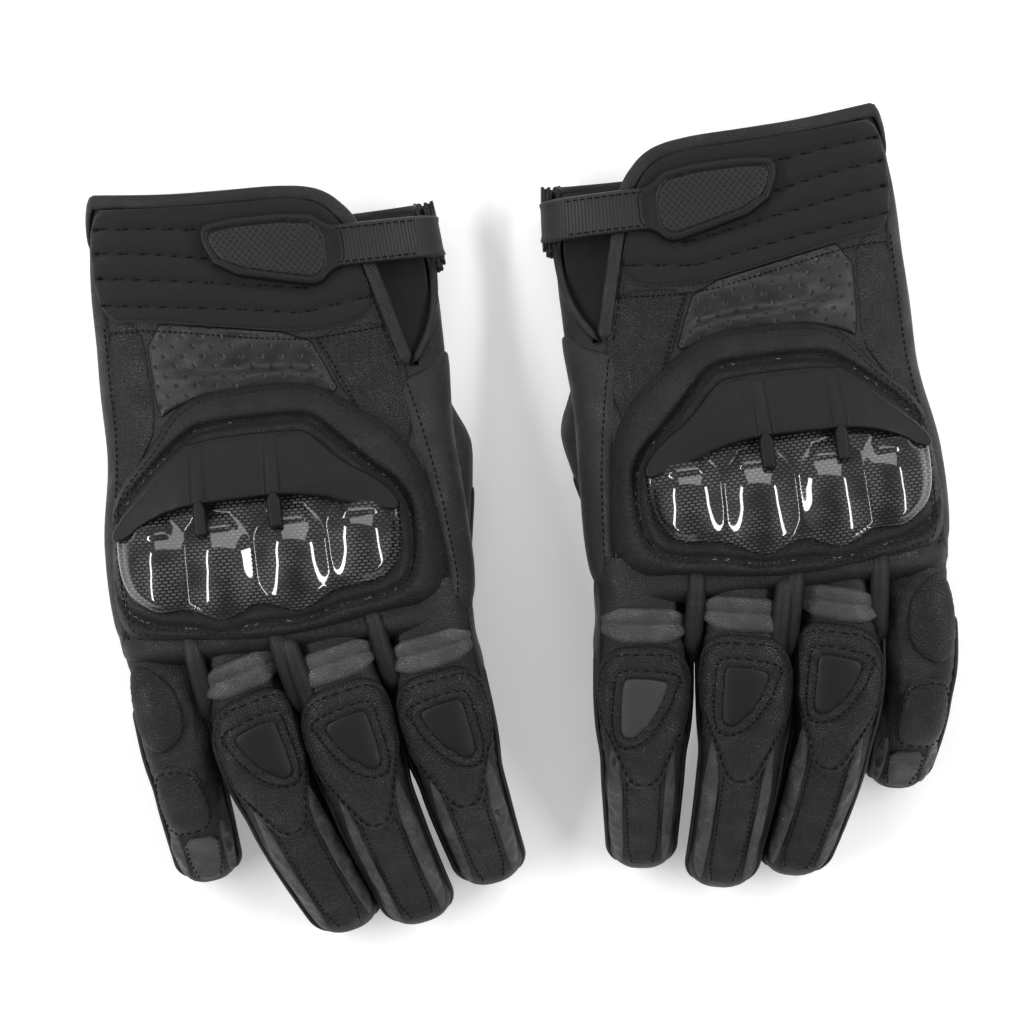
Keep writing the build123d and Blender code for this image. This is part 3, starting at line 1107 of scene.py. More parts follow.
@dataclass
class HandBody:
    """The sewn body: back, palm, lining, panels on the back and sides, and the cuff's edging."""

    place: Placement
    finish: Finishes
    form: HandForm = field(default_factory=HandForm)
    flap: Outline = ((-46, 110.5), (-41, 110), (-20, 107), (0, 106), (20, 105.5), (30, 102.5), (36.5, 98),
                     (41, 91),
                     (45, 76), (48.5, 62), (52.5, 46))
    split_back: Outline = ((52.5, 46), (57.5, 53), (61, 62), (62.2, 74), (61.5, 90))
    palm_end: float = 95.0
    cloth_lines: tuple[Outline, ...] = (
        ((-41, 99.5), (-25, 97.5), (-8, 95)), ((-41.5, 92), (-25, 89.5), (-8, 86)),
        ((-41.5, 84), (-20, 80.5), (0, 77), (22, 73)), ((-41.5, 75.5), (0, 69), (20, 65.5), (41, 68)),
    )

    def shell(self) -> Sheet:
        """The hand's outside with the cuff split cut out of it and the finger end rolled in.

        Returns:
            An open sheet.
        """
        count = 250
        angles = np.arange(count) / count * math.tau
        turn = np.linspace(math.pi / 2, 0, 9)
        ys = np.r_[-33 - 6 * np.sin(turn), np.arange(-32, 113, 1.15)]
        shrink = np.r_[-14 * (1 - np.cos(turn[:9])), np.zeros(len(ys) - 9)]
        a, y = np.meshgrid(angles, ys)
        offset = np.broadcast_to(shrink[:, None], a.shape) + 0.3 * ripple(a * 40, y, 17, 3) * (y < 100)
        offset = offset + 0.22 * ripple(a * 55, y * 0.6, 5.0, 4) * np.clip((40 - y) / 20, 0, 1)
        points = self.form.around(a, y, offset).reshape(-1, 3)
        plan = np.stack([(a * 45).ravel(), y.ravel()], 1)
        edge = np.array([*self.flap, *self.split_back[1:], (61.5, 130), (-80, 130), (-80, 110.5)])
        all_faces = grid_faces(len(ys), count, True)
        middles = points[np.array(all_faces)].mean(1)
        near = distance_to(middles[:, :2], rounded(self.flap, 2, False), False) < 1.5
        near |= distance_to(middles[:, :2], np.array(self.split_back, float), False) < 0.8
        cut = (inside(middles[:, :2], edge) | near & (middles[:, 1] > 44)) & (middles[:, 2] > 20.0)
        longer = 14.5 * smooth(middles[:, 2], 9.0, 21.0) * (middles[:, 0] < 0)
        cut |= middles[:, 1] > self.palm_end - 0.8 + longer
        cut |= (middles[:, 1] > self.palm_end - 0.8) & (middles[:, 2] <= 20.0) & (middles[:, 0] >= 0)
        faces = [tuple(reversed(face)) for face, gone in zip(all_faces, cut) if not gone]
        return Sheet(points, faces, plan)

    def lining(self) -> Sheet:
        """The knitted sleeve inside, seen in the split.

        Returns:
            An open sheet.
        """
        angles = np.arange(160) / 160 * math.tau
        a, y = np.meshgrid(angles, np.arange(-24, 94, 1.6))
        offset = -2.3 + 0.5 * ripple(a * 40, y, 13, 8)
        points = self.form.around(a, y, offset).reshape(-1, 3)
        faces = [tuple(reversed(face)) for face in grid_faces(a.shape[0], 160, True)]
        return Sheet(points, faces, np.stack([(a * 45).ravel(), y.ravel()], 1))

    def cloth_relief(self, plan: np.ndarray, gap: np.ndarray) -> np.ndarray:
        """Stitched channels across the cuff, soft between them."""
        near = np.min([distance_to(plan, np.array(line, float), False) for line in self.cloth_lines], axis=0)
        return 1.0 * (1 - hill(near, 2.0)) - 1.4 * hill(near,
                                                        0.5) + 0.15 * ripple(plan[:, 0], plan[:, 1], 14, 2)

    def fold_relief(self, plan: np.ndarray, gap: np.ndarray) -> np.ndarray:
        """Two broad creases across the perforated leather.

        Args:
            plan: Flat places, mm.
            gap: Distance of each place from the rim, mm.

        Returns:
            One height for each place.
        """
        x, y = plan[:, 0], plan[:, 1]
        first = y - (51.0 - 0.2 * x + 1.8 * np.sin(x / 11))
        second = y - (59.0 - 0.05 * x + 1.2 * np.sin(x / 9 + 1))
        waves = 1.2 * hill(first + 4, 2.8) - 0.8 * hill(first, 2.2)
        waves = waves + 0.5 * hill(second + 2, 2.2) - 0.4 * hill(second, 2.0)
        return waves * np.clip(gap / 5, 0, 1) * smooth(x, -30, -12) + 0.25 * ripple(x, y * 1.5, 6, 5)

    def build(self) -> None:
        """Makes every piece of the hand that stays with its body."""
        node, fin = self.place.node, self.finish
        body = node("hand")
        shell = self.shell().piece(node("hand_leather"), self.place, fin.body, 1.3)
        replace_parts(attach(shell, body), node("hand_shell"))
        inner = self.lining().piece(node("lining_knit"), self.place, fin.lining, 0.6)
        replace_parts(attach(inner, body), node("lining"))
        self.back_panels(body)
        self.side_panels(body)
        self.edging(body)
        self.palm(body)
        self.webs(body)

    def back_panels(self, body: str) -> None:
        """The stretch cloth, the perforated leather and the grained leather beside it.

        Args:
            body: The body it rides on.
        """
        node, fin, form = self.place.node, self.finish, self.form
        cloth = Panel(((-44, 106), (-30, 104.5), (0, 102.5), (20, 102.3), (29, 99.5), (34.5, 94), (38, 86),
                       (44.5, 61.5),
                       (20, 59.5), (0, 63), (-28, 69), (-44, 70.5)), 1.2, relief=self.cloth_relief)
        made = cloth.sheet(form).piece(node("cuff_cloth"), self.place, fin.cloth)
        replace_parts(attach(made, body), node("cuff_panel"))
        thread = Stitches(2.4, 2.0, 0.27, 0.25)
        seams = [thread.sheet(np.array(line, float), form, cloth.offset, False) for line in self.cloth_lines]
        holes = Panel(((-29.5, 68.5), (-10, 65), (21, 59), (25, 50), (30, 38), (18, 43), (0, 44), (-14, 43.5),
                       (-24, 40),
                       (-28, 37)), 0.95, rim=0.9, relief=self.fold_relief, soften=1)
        made = holes.sheet(form).piece(node("perforated_leather"), self.place, fin.perforated)
        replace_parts(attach(made, body), node("perforated_panel"))
        strip = Panel(((-41, 69.5), (-30.2, 69), (-29, 50), (-28.3, 36), (-34, 26), (-43, 14), (-43, 40)),
                      0.7, soften=1)
        wing = Panel(((22.5, 58.7), (46.5, 60.5), (50.8, 48), (50, 20), (42, 22), (31, 37), (26, 50)), 0.8,
                     soften=1,
                     relief=lambda plan, gap: 0.5 * ripple(plan[:, 0] * 0.6, plan[:, 1], 5,
                                                           9) * np.clip(gap / 4, 0, 1))
        both = strip.sheet(form).joined(wing.sheet(form))
        leather = both.piece(node("back_leather"), self.place, fin.grained)
        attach(leather, body)
        band = np.array([(-40, 66.5), (-29, 66.2), (0, 60.3), (20, 56.6), (46, 58.4)], float)
        wing_edge = np.array([(24, 57), (27, 50.5), (34.5, 33)], float)
        fine = Stitches(1.7, 1.15, 0.2)
        seams.append(fine.sheet(rounded(band, 2, False), form, lambda p: np.full(len(p), 0.95), False))
        seams.append(fine.sheet(wing_edge, form, lambda p: np.full(len(p), 0.9), False))
        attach(together(seams).piece(node("back_stitches"), self.place, fin.thread), body)

    def side_panels(self, body: str) -> None:
        """The long smooth strip by the index finger, and the grained outer side.

        Args:
            body: The body it rides on.
        """
        node, fin = self.place.node, self.finish
        thumb_edge, outer_edge = HandEdge(self.form, True), HandEdge(self.form, False)

        def sag(plan: np.ndarray, gap: np.ndarray) -> np.ndarray:
            """Long shallow folds along the strip."""
            folds = 0.45 * ripple(plan[:, 0], plan[:, 1] * 0.35, 7, 12) * np.clip(gap / 4, 0, 1)
            return folds - 1.2 * smooth(-plan[:, 1], 24.0, 33.0)

        strip = Panel(((-13.5, -35), (-13.2, -20), (-14.4, 0), (-17.8, 25), (-20.5, 41), (-12, 44), (-4, 50),
                       (8, 46),
                       (9, 0), (8, -35)), 1.1, rim=1.2, relief=sag, step=1.3)
        made = strip.sheet(thumb_edge).piece(node("index_side_strip"), self.place, fin.smooth)
        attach(made, body)
        outer = Panel(((-11, 70), (-11.8, 40), (-11.6, 18), (-11, 0), (-10.4, -30), (10, -31), (11, 0),
                       (12, 70), (9, 92),
                       (-6, 98)), 0.7, rim=0.9, relief=sag, step=1.4)
        made = outer.sheet(outer_edge).piece(node("outer_side"), self.place, fin.grained)
        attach(made, body)
        fine = Stitches(2.1, 1.5, 0.2)
        line = np.array([(-11.6, -34), (-11.4, -20), (-12.6, 0), (-16, 25), (-18.4, 39)], float)
        seam = fine.sheet(line, thumb_edge, strip.offset, False)
        line = np.array([(-9.6, 68), (-10.2, 40), (-10.0, 18), (-9.4, 0), (-9.0, -28)], float)
        seam = seam.joined(fine.sheet(line, outer_edge, outer.offset, False))
        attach(seam.piece(node("side_stitches"), self.place, fin.thread), body)

    def edging(self, body: str) -> None:
        """Folded leather over the flap's edge, down the split, and round the palm side of the cuff.

        Args:
            body: The body it rides on.
        """
        node, fin, form = self.place.node, self.finish, self.form
        flap = rounded(self.flap[1:], 3, False)
        inward = flap + np.array([0.0, -1.9]) * np.clip((60 - flap[:, :1]) / 40, 0.2, 1)
        inward[:, 0] -= np.clip((flap[:, 0] - 28) / 8, 0, 1) * 1.7
        low = form.place(inward, np.full(len(inward), 1.0))
        high = form.place(inward, np.full(len(inward), 2.0))
        drop = np.linspace(2.85, 3.75, 24)
        ys = self.palm_end - 1.2 + 14.4 * smooth(np.sin(drop), -0.3, 0.28)
        side = form.around(drop, ys, np.linspace(1.0, 0.3, 24))[::-1]
        side_high = form.around(drop, ys, np.linspace(2.0, 1.3, 24))[::-1]
        keep = low[:, 0] > side[-1, 0] + 3.0
        low, up = np.vstack([side, low[keep]]), np.vstack([side_high - side, (high - low)[keep]])
        path = evenly(np.hstack([low, up]), 1.2, False)
        binding = tube(path[:, :3], path[:, 3:], 2.3, 1.15)
        back = roll_on(rounded(self.split_back, 2, False), form, 0.2, 1.3, 1.1)
        angles = np.linspace(0.1, 3.75 - math.tau, 130)
        low = form.around(angles, np.full(130, self.palm_end - 1.2), np.full(130, -0.5))
        high = form.around(angles, np.full(130, self.palm_end - 1.2), np.full(130, 0.5))
        cup = tube(low, high - low, 2.0, 1.2)
        made = binding.joined(back).joined(cup).piece(node("cuff_edging"), self.place, fin.edging)
        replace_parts(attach(made, body), node("cuff_binding"))
        under = inward + np.array([-0.9, -2.0])
        under[:, 0] -= np.clip((inward[:, 0] - 24) / 8, 0, 1) * 1.6
        seam = Stitches(2.3, 1.6, 0.2).sheet(under[4:-4], form, lambda p: np.full(len(p), 1.25), False)
        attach(seam.piece(node("edging_stitches"), self.place, fin.thread), body)

    def palm(self, body: str) -> None:
        """The slider pad under the heel, and the palm's overlay with its seams.

        Args:
            body: The body it rides on.
        """
        node, fin = self.place.node, self.finish
        skin = PalmForm(self.form)
        overlay = Panel(((-36, 30), (-38, -10), (-34, -28), (30, -29), (40, -10), (36, 10), (20, 28)), 0.9,
                        rim=1.0,
                        relief=lambda p, gap: 0.3 * ripple(p[:, 0], p[:, 1] * 0.5, 8,
                                                           31) * np.clip(gap / 4, 0, 1))
        made = overlay.sheet(skin).piece(node("palm_overlay"), self.place, fin.grained)
        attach(made, body)
        inset = 0.93 * (np.array(overlay.edge()) - overlay.edge().mean(0)) + overlay.edge().mean(0)
        seam = Stitches(2.4, 1.7, 0.2).sheet(inset, skin, overlay.offset, True)
        heel = FlatPad((-4.0, 56.0, 46.0, 34.0), 9.0)
        made = heel.sheet(self.form).piece(node("heel_slider"), self.place, fin.slider)
        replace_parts(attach(made, body), node("palm_patch"))
        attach(seam.piece(node("palm_stitches"), self.place, fin.thread), body)

    def webs(self, body: str) -> None:
        """The rolled leather between the finger roots.

        Args:
            body: The body it rides on.
        """
        node, fin = self.place.node, self.finish
        rolls = []
        for x, y, lean in ((-25.5, -31.0, 0.1), (0.8, -33.0, 0.2), (4.6, -36.5, 0.22), (30.8, -30.0, 0.17)):
            top = self.form.place(np.array([[x, max(y, -33.0)]]), np.array([0.0]))[0] * (1, 0, 1) + (0, y, 0)
            path = np.array([top + (-4 * lean, 4, -4.0), top + (0, 0, -1.2), top + (6 * lean, -6, -1.8),
                             top + (14 * lean, -14, -5.0), top + (22 * lean, -22, -10),
                             top + (25 * lean, -25, -18),
                             top + (20 * lean, -20, -25)])
            path = evenly(rounded(path, 3, False), 1.0, False)
            up = np.tile((0.0, -0.3, 1.0), (len(path), 1))
            rolls.append(tube(path, up, 3.0, 3.0))
        made = together(rolls).piece(node("finger_webs"), self.place, fin.edging)
        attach(made, body)


@dataclass(frozen=True)
class FlatPad:
    """A stitched pad with a flat underside: centre x and y, width and length, and its height."""

    size: tuple[float, float, float, float]
    height: float

    def sheet(self, form: HandForm) -> Sheet:
        """Rows of a rounded rectangle from the flat face up into the palm.

        Args:
            form: The hand's surface.

        Returns:
            The pad's mesh.
        """
        x, y, width, length = self.size
        corners = ((x - width / 2, y - length / 2), (x + width / 2, y - length / 2),
                   (x + width / 2, y + length / 2),
                   (x - width / 2, y + length / 2))
        edge = evenly(rounded(corners, 4), 1.0)
        middle = np.array([x, y])
        rings = []
        levels = ((0.0, 0.02), (0.5, 0.02), (0.93, 0.02), (0.97, 0.25), (1.0, 1.0), (1.0, 4.0),
                  (0.99, self.height))
        for share, z in levels:
            flat = middle + (edge - middle) * share
            rings.append(np.column_stack([flat, np.full(len(flat), z)]))
        points = np.vstack(rings)
        return Sheet(points, grid_faces(len(rings), len(edge), True), points[:, :2])


# ------------------------------------------------------------------ knuckle armour


@dataclass
class KnuckleArmour:
    """The padded surround, the woven guard with its domes, and the moulded hood."""

    place: Placement
    finish: Finishes
    form: HandForm = field(default_factory=HandForm)
    surround: Outline = ((-46.5, 4), (-45.5, 16), (-31, 29.5), (-23, 40.5), (-13, 44.8), (12, 45.2),
                         (21, 43.5),
                         (31, 37), (43, 28.5), (51, 17), (54.5, 0), (56, -22), (48, -28.5), (36, -29),
                         (18, -31.8),
                         (0, -33.5), (-20, -31.5), (-36, -30), (-46, -28), (-48.3, -14))
    seam: Outline = ((-20, 31.5), (-14, 33.8), (15, 33.8), (21, 31.5), (34, 17), (45, 7.5), (47, -5),
                     (45.5, -18),
                     (39, -24), (22, -25.5), (10, -29), (-5, -28), (-14, -30), (-24, -27), (-36, -25.5),
                     (-44, -20),
                     (-47, -10), (-47, 3), (-41, 13), (-29, 24.5))
    guard: Outline = ((-44, 11), (-45.3, -5), (-43.3, -15), (-37, -20.8), (-32, -22.4), (-25, -21.2),
                      (-20, -24),
                      (-14, -26.6), (-8, -24.4), (-3, -21.8), (3, -24), (9, -26.6), (15, -24.2), (21, -20.6),
                      (30, -20.2),
                      (37, -19.2), (42, -13), (43.6, -5), (43, 11))
    hood: Outline = ((-46.5, 1.5), (-44.5, 7), (-33, 17), (-24, 26), (-18.5, 30), (15, 30), (20, 26.8),
                     (27, 18.8),
                     (38, 11.3), (43.5, 5), (43.5, 0.8), (36, 2), (28, 4.6), (20, 7.8), (8, 9.8), (-14, 9.8),
                     (-26, 9),
                     (-36, 5.5), (-41, 1.8))
    domes: tuple[tuple[float, float], ...] = ((-33.5, -7.5), (-14.0, -9.0), (9.0, -9.0), (31.5, -7.0))
    ribs: tuple[tuple[float, float], ...] = ((-20.0, -15.5), (3.0, 7.8))

    def pad_relief(self, plan: np.ndarray, gap: np.ndarray) -> np.ndarray:
        """Swells from the rim, sinks at the seam, and stays level under the guard.

        Args:
            plan: Flat places, mm.
            gap: Distance of each place from the rim, mm.

        Returns:
            One height for each place.
        """
        seam = rounded(self.seam, 2)
        near = distance_to(plan, seam)
        within = inside(plan, seam)
        swell = 3.6 * np.sin(np.clip(gap / 7.5, 0, 1) * math.pi / 2) ** 0.9
        level = np.where(within, 3.1, swell)
        share = np.clip(near / 2.2, 0, 1)
        height = np.where(within, level, level + 0.4 * hill(near - 4.0, 3.0))
        dip = 1.3 * hill(near, 1.15) - 0.35 * hill(near - 3.0, 1.2)
        creases = 0.25 * ripple(plan[:, 0] * 0.5, plan[:, 1] * 1.6, 5.5,
                                21) * np.clip(gap / 5, 0, 1) * (~within)
        return height * (0.6 + 0.4 * share) - dip + creases

    def dome_relief(self, plan: np.ndarray, gap: np.ndarray) -> np.ndarray:
        """Four knuckle domes with sharp valleys, and a low bead near the rim.

        Args:
            plan: Flat places, mm.
            gap: Distance of each place from the rim, mm.

        Returns:
            One height for each place.
        """
        x, y = plan[:, 0], plan[:, 1]
        domes = np.zeros(len(plan))
        for cx, cy in self.domes:
            across, along = (x - cx) / 12.0, np.maximum(np.abs(y - cy) - 2.0, 0) / 14.5
            domes = np.maximum(domes, 4.6 * np.cos(np.clip(np.hypot(across, along), 0,
                                                           1) * math.pi / 2) ** 1.1)
        ridge = 0.0
        for cx, cy in self.domes:
            shelf = np.maximum(np.abs(x - cx) - 5.5, np.abs(y - 3.8) - 2.2)
            ridge = ridge + 0.7 / (1 + np.exp(np.clip(shelf * 3.5, -30, 30)))
        return domes * np.clip(gap / 3.0, 0, 1) + ridge - 0.4 * hill(gap - 1.8, 0.5)

    def hood_relief(self, plan: np.ndarray, gap: np.ndarray) -> np.ndarray:
        """Falls away to the wrist, with two tapered ribs that end in blocks.

        Args:
            plan: Flat places, mm.
            gap: Distance of each place from the rim, mm.

        Returns:
            One height for each place.
        """
        x, y = plan[:, 0], plan[:, 1]
        slope = -1.7 * np.clip((y - 12) / 16, 0, 1) ** 1.3
        side = -1.2 * np.clip((np.abs(x + 1) - 22) / 20, 0, 1)
        ribs = np.zeros(len(plan))
        for low, high in self.ribs:
            lean = np.clip((y - 4) / 24, 0, 1)
            edge = np.minimum(x - low - 1.0 * lean, high - x)
            ribs = np.maximum(ribs, (1.9 - 1.2 * lean) * np.clip(edge / 0.9 + 0.5, 0,
                                                                 1) * np.clip((29 - y) / 1.5, 0, 1))
        return slope + side + ribs

    def block(self, low: float, high: float) -> Sheet:
        """The end of a rib, standing on the guard.

        Args:
            low: The rib's side, x.
            high: The rib's other side, x.

        Returns:
            The block's mesh.
        """
        outline = ((low, 11.5), (low, 0.6), (low + 0.6, 0), (high - 0.6, 0), (high, 0.6), (high, 11.5))
        made = Panel(outline, 12.4, 5.5, 0.7, 0.6, 1)
        return made.sheet(self.form)

    def build(self) -> None:
        """Makes the three layers, their seams and their lint."""
        node, fin, form = self.place.node, self.finish, self.form
        body = node("hand")
        pad = Panel(self.surround, 1.4, rim=1.6, relief=self.pad_relief)
        made = pad.sheet(form).piece(node("guard_surround"), self.place, fin.padded)
        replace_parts(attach(made, body), node("knuckle_surround"))
        seam = rounded(self.seam, 2)
        seam[:, 0] = np.maximum(seam[:, 0], -44.6)
        rows = Stitches(1.9, 1.5, 0.24, 0.15).sheet(seam, form, pad.offset, True)
        middle = seam.mean(0)
        outer = np.maximum(middle + (seam - middle) * 1.045, (-45.0, -99.0))
        rows = rows.joined(Stitches(2.0, 0.9, 0.17, 0.1, 0.5).sheet(outer, form, pad.offset, True))
        edge = pad.edge()
        hem = np.maximum(edge + 0.045 * (middle - edge), (-43.6, -99.0))
        rows = rows.joined(Stitches(2.3, 1.6, 0.2, 0.05).sheet(hem, form, pad.offset, True))
        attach(rows.piece(node("guard_stitches"), self.place, fin.seam), body)
        self.lint(body, seam, pad)
        shell = Panel(self.guard, 7.4, 3.6, 1.3, 0.75, 2, self.dome_relief)
        made = shell.sheet(form).piece(node("woven_guard"), self.place, fin.weave)
        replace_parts(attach(made, body), node("carbon_guard"))
        cap = Panel(self.hood, 10.6, 4.2, 0.9, 0.7, 1, self.hood_relief)
        hood = cap.sheet(form)
        for low, high in self.ribs:
            hood = hood.joined(self.block(low, high))
        made = hood.piece(node("moulded_hood"), self.place, fin.hood)
        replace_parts(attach(made, body), node("guard_hood"))

    def lint(self, body: str, seam: np.ndarray, pad: Panel) -> None:
        """Short pale ends of thread caught in the seam.

        Args:
            body: The body it rides on.
            seam: The seam's flat points.
            pad: The padded panel under it.
        """
        dice = np.random.default_rng(11 if self.place.mirrored else 7)
        line = evenly(seam, 0.7)
        ends = []
        for start in dice.choice(len(line) - 8, 46, replace=False):
            path = line[start:start + 3] + dice.normal(0, 0.25, (3, 2))
            ends.append(roll_on(path, self.form, float(pad.offset(path).mean()) + 0.3, 0.09, 0.09))
        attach(together(ends).piece(self.place.node("seam_lint"), self.place, self.finish.lint), body)


# ------------------------------------------------------------------ strap


@dataclass
class Strap:
    """The closing strap with its textured tab, its hook tape and its sewn root."""

    place: Placement
    finish: Finishes
    form: HandForm = field(default_factory=HandForm)
    tab: Outline = ((-9.8, 92.8), (-6.5, 97.8), (25.5, 97), (31.5, 91.8), (36, 91.6), (36, 78), (31.5, 77.3),
                    (27, 72.8), (21, 73.8), (-4.2, 80.3))
    face: Outline = ((-6.9, 91.6), (-4.4, 94.7), (24, 94.2), (29.4, 89.4), (29.4, 79.6), (26, 75.9),
                     (22, 76.6),
                     (-2, 82.8))
    band: tuple[float, float] = (78.0, 91.5)

    def band_sheet(self, low: float, high: float, start: float, end: float) -> Sheet:
        """A closed strip of strap from angle start to end round the thumb side.

        Args:
            low: Height of its underside above the hand, mm.
            high: Height of its top above the hand, mm.
            start: First angle, radians.
            end: Last angle, radians.

        Returns:
            The strip's mesh.
        """
        y0, y1 = self.band
        across = np.r_[y0, y0 + 0.25, y0 + 0.9, np.linspace(y0 + 1.2, y1 - 1.2, 8), y1 - 0.9, y1 - 0.25, y1]
        rise = np.r_[0.0, 0.8, 1.25, 1.25, 1, 1, 1, 1, 1, 1, 1.25, 1.25, 0.8, 0.0]
        angles = np.linspace(start, end, 110)
        a, y = np.meshgrid(angles, across, indexing="ij")
        offset = low + (high - low) * np.broadcast_to(rise, a.shape)
        top = self.form.around(a, y, offset)
        under = self.form.around(a, y, np.full(a.shape, low))
        loop = np.concatenate([top, under[:, ::-1]], axis=1)
        reach = np.r_[0, np.cumsum(np.linalg.norm(np.diff(top[:, 5], axis=0), axis=1))]
        flat = np.concatenate([y, y[:, ::-1]], axis=1)
        plan = np.stack([np.broadcast_to(reach[:, None], flat.shape), flat], -1).reshape(-1, 2)
        count = loop.shape[1]
        faces = grid_faces(len(angles), count, True)
        faces += [tuple(range(count)), tuple(reversed(range(len(loop.reshape(-1, 3)) - count,
                                                            len(loop.reshape(-1, 3)))))]
        return Sheet(loop.reshape(-1, 3), faces, plan)

    def build(self) -> None:
        """Makes the strap's pieces."""
        node, fin, form = self.place.node, self.finish, self.form
        body = node("strap_body")
        made = self.band_sheet(2.8, 4.4, 1.2, 0.02).piece(node("strap_band"), self.place, fin.strap)
        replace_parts(made, node("strap"))
        y = sum(self.band) / 2
        start, end = self.place.world(np.array([(64.8, y, 17.0), (64.8, y, 23.0)]))
        node("hand")
        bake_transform(made)
        rim = Panel(self.tab, 5.2, 2.7, 1.3, 0.8, 1, self.tab_relief)
        made = rim.sheet(form).piece(node("tab_base"), self.place, fin.rim)
        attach(made, body)
        face = Panel(self.face, 5.0, 4.0, 0.7, 0.9, 1)
        made = face.sheet(form).piece(node("tab_face"), self.place, fin.tab)
        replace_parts(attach(made, body), node("pull_tab"))
        hook = Panel(((-3, 84), (-4, 93), (23, 93), (27, 89), (27, 80), (22, 78.5)), 2.6, 1.7, 0.4)
        made = hook.sheet(form).piece(node("hook_tape"), self.place, fin.lining)
        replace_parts(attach(made, body), node("hook_patch"))
        hem = Stitches(2.2, 1.5, 0.2).sheet(np.array([(34, 90), (48, 90), (57, 90)], float), form,
                                           lambda p: np.full(len(p), 4.9), False)
        hem = hem.joined(Stitches(2.2, 1.5,
                                  0.2).sheet(np.array([(34, 79.6), (48, 79.6), (57, 79.6)], float), form,
                                                       lambda p: np.full(len(p), 4.9), False))
        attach(hem.piece(node("strap_stitches"), self.place, fin.thread), body)
        self.root()

    def tab_relief(self, plan: np.ndarray, gap: np.ndarray) -> np.ndarray:
        """A raised lip round the sunken middle, and level where it meets the strap."""
        sunk = inside(plan, rounded(self.face, 1))
        return np.where(sunk, -0.9, 0.25 * hill(gap - 1.6, 0.9)) - 0.3 * np.clip((plan[:, 0] - 30) / 4, 0, 1)

    def root(self) -> None:
        """The sewn root round the thumb side, with cut, ragged layers."""
        node, fin = self.place.node, self.finish
        dice = np.random.default_rng(3)
        layers = []
        for layer, (low, high, y0, y1) in enumerate(((1.2, 2.2, 75.5, 93.5), (2.3, 3.3, 74.5, 94.5),
                                                     (3.4, 4.3, 76.5, 95.5))):
            reach = np.linspace(0.12, -0.75 + 0.12 * layer, 26)
            rows = []
            for angle in reach:
                edge = np.linspace(y0, y1, 22) + (0.5 * dice.normal(0, 1, 22) if angle < 0.2 else 0)
                edge[1:-1] = np.linspace(y0, y1, 22)[1:-1]
                a = np.full(22, angle)
                rows.append((self.form.around(a, edge, np.full(22, high)),
                             self.form.around(a, edge, np.full(22, low))))
            loop = np.array([np.vstack([top, under[::-1]]) for top, under in rows])
            count = loop.shape[1]
            faces = grid_faces(len(rows), count, True)
            size = len(rows) * count
            faces += [tuple(range(count)), tuple(reversed(range(size - count, size)))]
            flat = np.stack(np.broadcast_arrays(reach[:, None] * 30,
                                                np.r_[np.linspace(y0, y1, 22), np.linspace(y1, y0, 22)]),
                            -1).reshape(-1, 2)
            layers.append(Sheet(loop.reshape(-1, 3), faces, flat))
        made = together(layers).piece(node("strap_root"), self.place, fin.tab)
        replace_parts(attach(made, node("hand")), node("strap_anchor"))


# ------------------------------------------------------------------ fingers


@dataclass(frozen=True)
class FingerPlan:
    """One finger's sizes: where it starts, its angle towards the thumb, radii and lengths."""

    name: str
    base_x: float
    base_z: float
    angle: float
    radius: float
    tip_radius: float
    stub: float
    base_length: float
    tip_length: float
    insert: bool
    bow: float = 0.0  # how far the middle of the finger bends sideways


